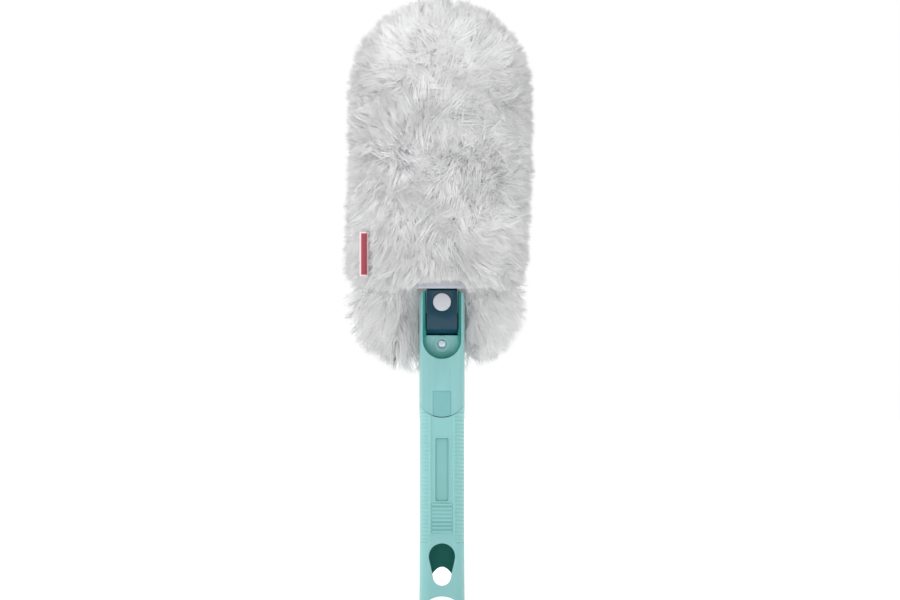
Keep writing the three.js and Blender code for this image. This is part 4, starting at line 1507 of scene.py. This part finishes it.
@dataclass
class Fleece:
    """Fleece cover: knit backing and tufted pile in two tiers."""

    pile: float = 16.5 * MM
    pad_depth: float = 25.5 * MM
    tuft_spread: float = 2.0 * MM
    tuft_gap: float = 2.5 * MM
    tries_in_gap: int = 4
    strands_in_tuft: int = 26
    under_pile: float = 0.5
    foot_curve: float = 2.2
    over: float = 3.5 * MM
    lock_height: float = 2.6 * MM
    lock_pitch: float = 16.0 * MM
    lock_turns: Point = (8.0, 11.0)
    lock_slower: float = 0.8
    lock_squash: float = 1.15
    lean_top: float = -1.5 * MM
    lean_foot: float = -5.2 * MM
    lean_from: float = 0.325
    lean_to: float = 0.250
    backing_lean: float = 0.6
    pad_foot: float = 12.0 * MM
    pad_end: float = 10.0 * MM
    pad_blunt: float = 0.8
    pad_taper: float = 0.5
    flap_below: float = 8.0 * MM
    flap_reach: float = 0.65
    flap_top: float = 14.0 * MM
    flap_front: float = 11.0 * MM
    flap_retreat: float = 16.5 * MM
    flap_clear: float = 27.0 * MM
    flap_blend: float = 7.0 * MM
    flap_back: float = 3.0 * MM
    side_fall: float = 0.4
    depth_curve: float = 2.4
    depth_share: float = 0.9
    edge_waves: tuple[tuple[float, float, float], ...] = (
        (2.2, 0.21, 0.5),
        (1.4, 0.55, 0.0),
        (1.0, 1.37, 2.0),
    )
    edge_rag: tuple[float, float, float] = (1.6, 4.1, 1.7)
    edge_drop: float = 2.5
    hem_lift: float = 7.5
    hem_reach: float = 22.0
    hem_fade: float = 5.0
    hem_calm: float = 0.6
    tier_start: float = 15.5 * MM
    tier_over: float = 2.3
    tier_middle: float = 14.0 * MM
    tier_inset: float = 1.2 * MM
    tier_square: float = 4.0
    swirl_waves: tuple[tuple[float, float, float, float], ...] = (
        (1.5, 0.047, 0.0, 0.9),
        (1.8, 0.02, 0.037, 2.1),
    )
    swirl_face: tuple[float, float, float] = (1.1, -0.05, 0.07)
    calm_between: Point = (0.375, 0.42)
    calm_share: float = 0.25
    fan_share: float = 0.7
    hang: float = 0.15
    flat_power: float = 1.5
    under_lean: float = 0.6
    under_length: float = 0.9
    under_cut: float = 0.95
    gather: Point = (0.25, 0.4)
    bend_rise: float = 0.5
    bend_flow: float = 0.1
    root_depth: float = 1.0 * MM
    tint: float = 0.74
    tint_range: Point = (0.66, 0.82)
    cut_range: Point = (0.3, 1.3)
    cut_rounds: int = 12
    clear_shares: tuple[float, ...] = (0.15, 0.4, 0.6, 0.8, 1.0)
    neck_side: float = 0.9 * MM
    neck_front: float = 1.0 * MM
    neck_reach: float = 22.5 * MM
    sweep_gap: float = 0.6 * MM
    label_gap: float = 0.8 * MM
    label_bare: float = 6.0 * MM
    label_room: float = 1.0 * MM
    ball_sides: int = 72
    ball_rings: int = 48
    scatter: Scatter = Scatter()
    seed: int = 12

    def __post_init__(self) -> None:
        """Takes the overall sizes from the frame."""
        low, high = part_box("cover_back")
        self.half_width = high.x
        self.half_depth = high.y
        self.top = high.z
        self.bottom = low.z
        self.hem_low, self.hem_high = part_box("hem_band")
        joint = next(j for j in frame["joints"] if j["name"] == "head_tilt")
        self.pivot = joint["pos_m"][2]
        _, neck_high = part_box("neck_housing")
        self.neck_half = neck_high.x
        self.neck_depth = neck_high.y
        self.sweep = self.hem_low.z - self.pivot
        self.label_low, self.label_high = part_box("side_label")
        self.rng = np.random.default_rng(self.seed)
        self.strands = Strands()

    def rounded(self, shape: BallShape, name: str) -> Mesh:
        """Makes a rounded backing from a ball.

        Args:
            shape: Maps a point of the unit ball onto the backing.
            name: Name of the mesh.

        Returns:
            The mesh.
        """
        bm = bmesh.new()
        sides, rings = self.ball_sides, self.ball_rings
        bmesh.ops.create_uvsphere(bm, u_segments=sides, v_segments=rings, radius=1.0)
        for vert in bm.verts:
            vert.co = shape(*vert.co)
        return mesh_of(bm, name, ALL_SMOOTH)

    def pad(self) -> Mesh:
        """Makes the stuffed pad that the upper pile grows on.

        Returns:
            The mesh.
        """
        half = self.half_width - self.pile
        crown = self.top - self.pile - half
        foot = self.hem_high.z + self.pad_foot

        def shape(x: float, y: float, z: float) -> tuple[float, float, float]:
            """Stretches the ball into an upright pad with a blunt foot.

            Args:
                x: Place across the ball.
                y: Place in its depth.
                z: Its height.

            Returns:
                The point of the pad.
            """
            ring = max(math.hypot(x, y), JOINED)
            depth = self.pad_depth * math.sqrt(1 - max(0.0, z) ** 4)
            height = crown + z * half if z > 0 else foot - abs(z) ** self.pad_blunt * self.pad_end
            fill = 1.0 if z > 0 else ring**self.pad_taper
            wide = x * half + self.backing_lean * float(self.off_centre(height))
            deep = math.copysign(abs(y / ring) ** self.pad_blunt, y) * depth * fill
            return wide, deep, height

        return self.rounded(shape, "fleece_pad")

    def flap(self) -> Mesh:
        """Makes the lower tier's flap, drawn back behind the neck.

        Returns:
            The mesh.
        """
        half = self.half_width - self.pile
        foot = self.hem_high.z - self.flap_below
        drop = foot - self.bottom - self.flap_reach * self.pile
        power = 2 / self.foot_curve

        def shape(x: float, y: float, z: float) -> tuple[float, float, float]:
            """Stretches the ball into a flat flap that leaves room for the neck.

            Args:
                x: Place across the ball.
                y: Place in its depth.
                z: Its height.

            Returns:
                The point of the flap.
            """
            wide = math.copysign(abs(x) ** power, x) * half
            height = foot + (z * self.flap_top if z > 0 else -(abs(z) ** power) * drop)
            blend = min(1.0, max(0.0, (self.flap_clear - abs(wide)) / self.flap_blend))
            front = self.flap_front + self.flap_retreat * blend
            back = self.half_depth - self.flap_back
            deep = (front + back) / 2 + y * (back - front) / 2
            return wide + self.backing_lean * self.lean_foot, deep, height

        return self.rounded(shape, "fleece_flap")

    def off_centre(self, height: np.ndarray | float) -> np.ndarray:
        """Gives how far the pile hangs to the left, more towards its foot."""
        return np.interp(height, (self.lean_to, self.lean_from), (self.lean_foot, self.lean_top))

    def upper_outline(self, point: np.ndarray) -> np.ndarray:
        """Measures points against the trimmed outline of the upper tier.

        Args:
            point: Points, one a row.

        Returns:
            A value for each point, 1 on the outline and more outside it.
        """
        x, y, z = point.T
        fall = self.lock_fall(point)
        half = self.half_width + self.over - self.side_fall * fall
        deep = self.half_depth + self.over - fall
        crown = self.top - self.half_width
        up = np.clip((z - crown) / half, 0.0, None)
        wide = (np.abs(x - self.off_centre(z)) / half) ** 2.0
        size = wide + (np.abs(y) / deep) ** self.depth_curve * self.depth_share + up**2
        return np.where((y < 0) & (z < self.front_edge(x, y)), 2.0, size)

    def lock_fall(self, point: np.ndarray) -> np.ndarray:
        """Gives the fall of the pile between its main locks, in two slanting rows that cross.

        Args:
            point: Points, one a row.

        Returns:
            The fall at each point.
        """
        x, y, z = point.T
        wide = np.abs(x / self.half_width) ** self.lock_squash
        deep = np.abs(y / self.half_depth) ** self.lock_squash
        angle = np.arctan2(np.sign(y) * deep, np.sign(x) * wide)
        rise = math.pi * z / self.lock_pitch
        right, left = self.lock_turns
        wave = (np.sin(rise + right * angle) + np.sin(self.lock_slower * rise - left * angle + 1)) / 2
        return self.lock_height * (1 - wave)

    def front_edge(self, x: np.ndarray, y: np.ndarray) -> np.ndarray:
        """Gives the ragged lower edge of the front panel, higher over the hem, lower at the sides.

        Args:
            x: Places across.
            y: Places in depth.

        Returns:
            The height of the edge at each place.
        """
        across, deep = x / MM, y / MM
        wave = sum(height * np.sin(turns * across + start) for height, turns, start in self.edge_waves)
        height, turns, slant = self.edge_rag
        ragged = height * np.sin(turns * across + slant * deep)
        open_hem = np.clip((self.hem_reach - np.abs(across)) / self.hem_fade, 0.0, 1.0)
        lift = ragged + wave * (1 - self.hem_calm * open_hem) - self.edge_drop + self.hem_lift * open_hem
        return self.hem_low.z + lift * MM

    def lower_outline(self, point: np.ndarray) -> np.ndarray:
        """Measures points against the trimmed outline of the lower tier.

        Args:
            point: Points, one a row.

        Returns:
            A value for each point, 1 on the outline and more outside it.
        """
        x, y, z = point.T
        start = self.pivot + self.tier_start
        down = np.clip((start - z) / (start - self.bottom + self.tier_over * self.over), 0.0, None)
        deep = np.abs(y - self.tier_middle) / (self.half_depth - self.tier_middle)
        wide = np.abs(x - self.off_centre(z)) / (self.half_width + self.over - self.tier_inset)
        size = wide**self.foot_curve + down**self.foot_curve
        return size + self.depth_share * deep**self.tier_square

    def triangles(self, mesh: Mesh) -> np.ndarray:
        """Lists a mesh's triangles in a fixed order, because an operator may shuffle its faces.

        Args:
            mesh: The mesh.

        Returns:
            Vertex numbers, one row for each triangle.
        """
        found = []
        for polygon in mesh.polygons:
            around = list(polygon.vertices)
            first = around.index(min(around))
            around = around[first:] + around[:first]
            found += [(around[0], b, c) for b, c in zip(around[1:], around[2:])]
        return np.array(sorted(found))

    def samples(self, mesh: Mesh) -> tuple[np.ndarray, np.ndarray]:
        """Spreads points at random over a mesh, a few on each square of the tuft gap.

        Args:
            mesh: The mesh.

        Returns:
            The points and their normals.
        """
        places = np.empty(len(mesh.vertices) * 3)
        mesh.vertices.foreach_get("co", places)
        places = places.reshape(-1, 3)
        corners = self.triangles(mesh)
        a, b, c = places[corners[:, 0]], places[corners[:, 1]], places[corners[:, 2]]
        facing = np.cross(b - a, c - a)
        normals = np.zeros_like(places)
        for column in corners.T:
            np.add.at(normals, column, facing)
        normals = unit(normals)
        area = np.linalg.norm(facing, axis=1) / 2
        count = round(self.tries_in_gap * area.sum() / self.tuft_gap**2)
        chosen = corners[self.rng.choice(len(corners), size=count, p=area / area.sum())]
        mix = self.rng.random((count, 2))
        mix[mix.sum(axis=1) > 1] = 1 - mix[mix.sum(axis=1) > 1]
        weights = np.column_stack([1 - mix.sum(axis=1), mix])[:, :, None]
        return (places[chosen] * weights).sum(axis=1), unit((normals[chosen] * weights).sum(axis=1))

    def thinned(self, place: np.ndarray) -> np.ndarray:
        """Keeps points that are at least one tuft gap apart.

        Args:
            place: Points in random order.

        Returns:
            Indices of the kept points.
        """
        tree = KDTree(len(place))
        for index, point in enumerate(place):
            tree.insert(point, index)
        tree.balance()
        free = np.ones(len(place), dtype=bool)
        kept = []
        for index, point in enumerate(place):
            if free[index]:
                kept.append(index)
                for _, near, _ in tree.find_range(point, self.tuft_gap):
                    free[near] = False
        return np.array(kept)

    def swirl(self, place: np.ndarray) -> np.ndarray:
        """Gives a smooth, wandering direction in the front plane.

        Args:
            place: Points on the backing.

        Returns:
            Directions with no depth.
        """
        x, z = place[:, 0] / MM, place[:, 2] / MM
        turn = np.zeros_like(x)
        for height, across, up, start in self.swirl_waves:
            turn += height * np.sin(up * z + across * x + start)
        height, across, up = self.swirl_face
        turn += height * np.sin(up * z + across * x + np.sign(place[:, 1]))
        return np.column_stack([np.cos(turn), np.zeros_like(turn), np.sin(turn)])

    def tufts(self, tier: Tier) -> Tuft:
        """Works out the strands of one tier.

        Args:
            tier: The tier.

        Returns:
            Root, bend and tip points, the tints and the normals under the strands.
        """
        rng, uneven = self.rng, self.scatter
        place, normal = self.samples(tier.backing)
        kept = self.thinned(place)
        place, normal = place[kept], normal[kept]
        count = len(place)
        away = (place - np.array([tier.fan[0], 0.0, tier.fan[1]])) * np.array([1.0, 0.0, 1.0])
        away /= np.maximum(np.linalg.norm(away, axis=1, keepdims=True), self.half_width)
        calm = np.interp(place[:, 2], self.calm_between, (1.0, self.calm_share))[:, None]
        flow = tier.swirl * calm * self.swirl(place) + self.fan_share * away
        flow += np.array([0.0, 0.0, -self.hang])
        flow += rng.normal(scale=uneven.flow, size=flow.shape)
        flow = unit(flow - (flow * normal).sum(axis=1, keepdims=True) * normal)
        flat = np.abs(normal[:, 1]) ** self.flat_power
        edge, face = tier.lean
        angle = np.radians(edge + (face - edge) * flat + rng.normal(scale=uneven.lean, size=count))
        reach = self.pile * (1 - flat) + tier.length * flat
        reach *= rng.normal(1.0, uneven.length, size=count)
        tuft = self.spread(place, normal, flow, angle, reach)
        # Painted light and shade by height, multiplied into the strands' tints
        heights, factors = zip(*tier.tone)
        tuft["tint"] = tuft["tint"] * np.interp(tuft["tip"][:, 2], heights, factors)
        return self.trimmed(tier, tuft)

    def spread(
        self,
        place: np.ndarray,
        normal: np.ndarray,
        flow: np.ndarray,
        angle: np.ndarray,
        reach: np.ndarray,
    ) -> Tuft:
        """Fans each tuft out into its strands.

        Args:
            place: Middle of each tuft.
            normal: Normal there.
            flow: Direction that the tuft leans to.
            angle: Lean from the normal, in radians.
            reach: Length of the tuft.

        Returns:
            Root, bend and tip points, the tints, the normals and the share left by the shears.
        """
        rng, uneven = self.rng, self.scatter
        count, each = len(place), self.strands_in_tuft
        index = np.repeat(np.arange(count), each)
        total = len(index)
        normal, flow, place = normal[index], flow[index], place[index]
        long = (reach[index] * rng.normal(1.0, uneven.length, size=total))[:, None]
        under = rng.random(total) < self.under_pile
        tilt = angle[index] * np.where(under, self.under_lean, 1.0)
        tilt = (tilt + rng.normal(scale=uneven.tilt, size=total))[:, None]
        long[under] *= self.under_length
        gather = (self.gather[0] + self.gather[1] * np.abs(normal[:, 1]))[:, None]
        offset = rng.normal(scale=self.tuft_spread, size=(total, 3))
        offset -= (offset * normal).sum(axis=1, keepdims=True) * normal
        root = place + offset - normal * self.root_depth
        bend = root + normal * long * self.bend_rise + flow * long * self.bend_flow
        bend += rng.normal(scale=uneven.bend, size=(total, 3))
        tip = place + long * (np.cos(tilt) * normal + np.sin(tilt) * flow)
        tip += gather * offset + rng.normal(scale=uneven.tip, size=(total, 3))
        tint = rng.normal(self.tint, uneven.tuft_tint, size=count)[index]
        tint += rng.normal(scale=uneven.strand_tint, size=total)
        cut = 1 - np.abs(rng.normal(scale=uneven.tuft_cut, size=count))[index]
        cut -= np.abs(rng.normal(scale=uneven.strand_cut, size=total))
        cut[under] *= rng.normal(self.under_cut, uneven.under_cut, size=int(under.sum()))
        tint = np.clip(tint, *self.tint_range)
        return {"root": root, "bend": bend, "tip": tip, "tint": tint, "ground": normal, "cut": cut}

    def trimmed(self, tier: Tier, tuft: Tuft) -> Tuft:
        """Shears the strands to the tier's outline, with a little unevenness.

        Args:
            tier: The tier.
            tuft: Root, bend and tip points, and the share left by the shears.

        Returns:
            The sheared strands.
        """
        low, high = (np.full(len(tuft["root"]), share) for share in self.cut_range)
        step = tuft["tip"] - tuft["root"]
        for _ in range(self.cut_rounds):
            middle = (low + high) / 2
            outside = tier.outline(tuft["root"] + step * middle[:, None]) > 1
            high = np.where(outside, middle, high)
            low = np.where(outside, low, middle)
        share = (low * tuft["cut"])[:, None]
        tip = tuft["root"] + step * share
        bend = tuft["root"] + (tuft["bend"] - tuft["root"]) * share
        return {**tuft, "bend": bend, "tip": tip}

    def kept(self, tuft: Tuft, front_floor: float) -> np.ndarray:
        """Finds the strands that stay clear of the neck, its turn, the hem and the label.

        Args:
            tuft: Root, bend and tip points.
            front_floor: Lowest place of a strand in front of the paddle.

        Returns:
            A mask of the strands to keep.
        """
        keep = np.ones(len(tuft["root"]), dtype=bool)
        low, high = self.label_low, self.label_high
        room = self.label_room
        for share in self.clear_shares:
            point = self.strands.points(tuft["root"], tuft["bend"], tuft["tip"], share)
            x, y, z = point.T
            beside = np.abs(x) < self.neck_half + self.neck_side
            within = np.abs(y) < self.neck_depth + self.neck_front
            keep &= ~(beside & within & (z < self.pivot + self.neck_reach))
            keep &= ~(beside & (np.hypot(y, z - self.pivot) < self.sweep + self.sweep_gap))
            keep &= ~((y < 0) & (z < front_floor))
            across = (x > low.x - self.label_gap) & (x < low.x + self.label_bare) & (y < high.y + room)
            keep &= ~(across & (z > low.z - room) & (z < high.z + room))
        return keep

    def build(self) -> None:
        """Builds the backing and both tiers of pile."""
        fibre, backing = FIBRE.material(), BACKING.material()
        pad_mesh, flap_mesh = self.pad(), self.flap()
        pad = make_piece("fleece_pad", pad_mesh, Body.COVER, backing)
        flap = make_piece("fleece_flap", flap_mesh, Body.COVER, backing)
        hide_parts("cover_front")
        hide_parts("cover_back")
        upper = Tier(
            "fleece_upper",
            pad_mesh,
            fan=(0.0, (self.hem_high.z + self.top) / 2),
            lean=(12.0, 40.0),
            length=22 * MM,
            outline=self.upper_outline,
            front_floor=self.hem_low.z - 9 * MM,
            tone=UPPER_PAINTED_LIGHT,
        )
        lower = Tier(
            "fleece_lower",
            flap_mesh,
            fan=(0.0, self.hem_high.z + 25 * MM),
            lean=(12.0, 60.0),
            length=26 * MM,
            outline=self.lower_outline,
            front_floor=0.0,
            tone=LOWER_PAINTED_LIGHT,
            swirl=0.25,
        )
        for tier in (upper, lower):
            self.grow(tier, fibre)

    def grow(self, tier: Tier, fibre: Material) -> None:
        """Builds one tier of pile, in pieces of a fair size.

        Args:
            tier: The tier.
            fibre: Material of the strands.
        """
        tuft = self.tufts(tier)
        order = np.flatnonzero(self.kept(tuft, tier.front_floor))
        pieces = math.ceil(len(order) / self.strands.limit)
        for number, part in enumerate(np.array_split(order, pieces), start=1):
            chosen = {key: value[part] for key, value in tuft.items()}
            name = f"{tier.name}_{number}"
            mesh = self.strands.mesh(name, chosen, self.rng)
            make_piece(name, mesh, Body.COVER, fibre)


def ribbon(path: Outline, low: float, high: float, thick: float, edge: float) -> Solid:
    """Makes a soft upright ribbon along a path seen from above.

    Args:
        path: Points of the ribbon's middle, x and y.
        low: Its lower edge.
        high: Its upper edge.
        thick: Its thickness.
        edge: Rounding of its edges.

    Returns:
        The ribbon.
    """
    rim_angle = 1.2
    line = [Vector(point) for point in path]
    sides = []
    for index, point in enumerate(line):
        along = line[min(index + 1, len(line) - 1)] - line[max(index - 1, 0)]
        sides.append((point, Vector((-along.y, along.x)).normalized() * thick / 2))
    outline = [tuple(point + side) for point, side in sides]
    outline += [tuple(point - side) for point, side in reversed(sides)]
    bm = prism(outline, Axis.Z, low, high)
    rim = [e for e in bm.edges if e.calc_face_angle(0.0) > rim_angle]
    bmesh.ops.bevel(bm, geom=rim, offset=edge, affect="EDGES", segments=3, profile=0.5, material=-1)
    return bm


@dataclass
class Hem:
    """Soft hem band at the cover's mouth, whose ends run back into the pile, with its stitches."""

    half: float = 17.5 * MM
    set_back: float = 1.2 * MM
    end_out: float = 2.2 * MM
    end_back: float = 5.0 * MM
    end_curve: int = 6
    steps: int = 8
    rise: float = 3.0 * MM
    thick: float = 2.2 * MM
    edge: float = 0.9 * MM
    row_front: float = 1.1 * MM
    row_height: float = 2.2 * MM
    row_end: float = 3.0 * MM
    stitch_pitch: float = 2.6 * MM
    stitch: tuple[float, float, float] = (0.9 * MM, 0.3 * MM, 0.3 * MM)

    def build(self) -> None:
        """Builds the band and its row of stitches."""
        low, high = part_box("hem_band")
        half, front, back = self.half, low.y + self.set_back, high.y
        ends = half + self.end_out, back + self.end_back
        path = [(-ends[0], ends[1])]
        for i in range(-self.steps, self.steps + 1):
            bend = abs(i / self.steps) ** self.end_curve
            path.append((half * i / self.steps, front + (back - front) * bend))
        path.append(ends)
        bm = ribbon(path, low.z, high.z + self.rise, self.thick, self.edge)
        tape = TAPE.material()
        piece = make_solid("hem", bm, Body.COVER, tape, SOFT)
        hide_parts("hem_band")
        self.stitches(tape, front - self.row_front, low.z + self.row_height)

    def stitches(self, tape: Material, front: float, height: float) -> None:
        """Builds a row of short stitches on the hem.

        Args:
            tape: Material of the hem.
            front: Front of the hem.
            height: Height of the row.
        """
        bm = bmesh.new()
        count = math.floor((self.half - self.row_end) / self.stitch_pitch)
        for index in range(-count, count + 1):
            lay = Matrix.Translation((index * self.stitch_pitch, front, height))
            lay @= Matrix.Diagonal((*self.stitch, 1))
            bmesh.ops.create_uvsphere(bm, u_segments=10, v_segments=6, radius=1.0, matrix=lay)
        make_solid("hem_stitches", bm, Body.COVER, tape, ALL_SMOOTH)


@dataclass
class Label:
    """Bare woven label with its pale border, folded back into the side seam."""

    colour: Colour = linear(160, 66, 80)
    border_colour: Colour = linear(232, 208, 212)
    threads: float = 12000.0
    wide: float = 6.7 * MM
    thick: float = 0.9 * MM
    edge: float = 0.25 * MM
    border: Point = (1.15 * MM, 1.2 * MM)
    fold: Outline = ((0.0, 0.6), (1.5, 0.1), (3.4, 0.0), (5.2, 0.1), (6.2, 0.9), (6.6, 3.0), (7.2, 9.0))

    def build(self) -> None:
        """Builds the label."""
        low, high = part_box("side_label")
        across, upright = self.border
        finish = WovenTape(
            "label_weave",
            self.colour,
            self.border_colour,
            middle=(low.x + self.wide / 2, (low.z + high.z) / 2),
            half=(self.wide / 2 - across, (high.z - low.z) / 2 - upright),
            threads=self.threads,
        )
        middle = (low.y + high.y) / 2
        path = [(low.x + x * MM, middle + y * MM) for x, y in self.fold]
        bm = ribbon(path, low.z, high.z, self.thick, self.edge)
        piece = make_solid("label", bm, Body.COVER, finish.material(), SOFT)
        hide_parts("side_label")


@dataclass
class Studio:
    """Camera, pale floor and soft light."""

    distance: float = 2.5
    view_width: float = 0.675
    aim: Point = (0.006, 0.231)
    sensor: float = 36.0
    far: float = 50.0
    floor_radius: float = 4.0
    floor_gap: float = 1.0 * MM
    floor_colour: Colour = (0.92, 0.92, 0.92, 1.0)
    floor_roughness: float = 0.9
    floor_near: Point = (0.12, 0.7)
    floor_glow: Point = (0.12, 0.6)
    daylight: float = 0.98
    slope: tuple[float, float, float] = (-0.25, 0.4, 0.0)
    white: Colour = (1.0, 1.0, 1.0, 1.0)
    key: float = 12.0
    key_size: Point = (0.9, 0.9)
    key_place: tuple[float, float, float] = (-0.55, -0.7, 1.9)
    strip: float = 2.0
    strip_size: Point = (0.1, 0.7)
    strip_place: tuple[float, float, float] = (1.1, -0.95, 0.5)
    lamp_aim: tuple[float, float, float] = (0.0, 0.0, 0.3)

    def build(self) -> None:
        """Builds the studio."""
        self.camera()
        self.floor()
        self.lights()
        scene = bpy.context.scene
        scene.view_settings.view_transform = "Standard"
        scene.view_settings.look = "None"

    def camera(self) -> None:
        """Places the camera square to the front."""
        data = bpy.data.cameras.new("camera")
        data.sensor_width = self.sensor
        data.lens = self.sensor * self.distance / self.view_width
        data.clip_end = self.far
        camera = bpy.data.objects.new("camera", data)
        camera.location = (self.aim[0], -self.distance, self.aim[1])
        camera.rotation_euler = (math.pi / 2, 0.0, 0.0)
        bpy.context.scene.collection.objects.link(camera)
        bpy.context.scene.camera = camera

    def floor(self) -> None:
        """Lays the pale floor."""
        bm = bmesh.new()
        bmesh.ops.create_circle(bm, cap_ends=True, segments=96, radius=self.floor_radius)
        bmesh.ops.translate(bm, vec=(0.0, 0.0, -self.floor_gap), verts=bm.verts)
        mesh = bpy.data.meshes.new("floor")
        bm.to_mesh(mesh)
        bm.free()
        material = bpy.data.materials.new("pale_floor")
        material.use_nodes = True
        shader = material.node_tree.nodes["Principled BSDF"]
        shader.inputs["Base Color"].default_value = self.floor_colour
        shader.inputs["Roughness"].default_value = self.floor_roughness
        shader.inputs["Emission Color"].default_value = self.white
        tree = Shader(material.node_tree)
        place = tree.add("TexCoord")
        away = tree.add("VectorMath", operation="LENGTH")
        tree.join(place.outputs["Object"], away.inputs[0])
        glow = tree.ramp(away.outputs["Value"], *self.floor_near, *self.floor_glow)
        tree.join(glow, shader.inputs["Emission Strength"])
        mesh.materials.append(material)
        floor = bpy.data.objects.new("floor", mesh)
        bpy.context.scene.collection.objects.link(floor)

    def lights(self) -> None:
        """Hangs the white surround, dimmer in front, the soft key from the upper left and a strip."""
        world = bpy.data.worlds.new("surround")
        world.use_nodes = True
        tree = Shader(world.node_tree)
        background = world.node_tree.nodes["Background"]
        path = tree.add("LightPath")
        place = tree.add("TexCoord")
        side = tree.add("VectorMath", operation="DOT_PRODUCT")
        side.inputs[1].default_value = self.slope
        tree.join(place.outputs["Generated"], side.inputs[0])
        strength = tree.add("Mix", data_type="FLOAT")
        strength.inputs[3].default_value = 1.0
        tree.join(path.outputs["Is Camera Ray"], strength.inputs[0])
        low, high = self.daylight - 1.0, self.daylight + 1.0
        tree.join(tree.ramp(side.outputs["Value"], -1.0, 1.0, low, high), strength.inputs[2])
        tree.join(strength.outputs[0], background.inputs["Strength"])
        background.inputs["Color"].default_value = self.white
        bpy.context.scene.world = world
        self.lamp("key", self.key, self.key_size, self.key_place)
        self.lamp("edge_strip", self.strip, self.strip_size, self.strip_place)

    def lamp(self, name: str, energy: float, size: Point, place: Sequence[float]) -> None:
        """Hangs one soft lamp that points at the duster.

        Args:
            name: Name of the lamp.
            energy: Its power.
            size: Its width and height.
            place: Where it hangs.
        """
        data = bpy.data.lights.new(name, "AREA")
        data.energy = energy
        data.shape = "RECTANGLE"
        data.size, data.size_y = size
        lamp = bpy.data.objects.new(name, data)
        lamp.location = place
        aim = Vector(self.lamp_aim) - lamp.location
        lamp.rotation_euler = aim.to_track_quat("-Z", "Y").to_euler()
        bpy.context.scene.collection.objects.link(lamp)


def main() -> None:
    """Builds the studio and the duster, in order."""
    logging.basicConfig(level=logging.INFO, format="%(message)s")
    for part in (Studio(), Grip(), Neck(), TiltJoint(), Fleece(), Hem(), Label()):
        LOG.info("building %s", type(part).__name__)
        part.build()


if __name__ == "__main__":
    main()
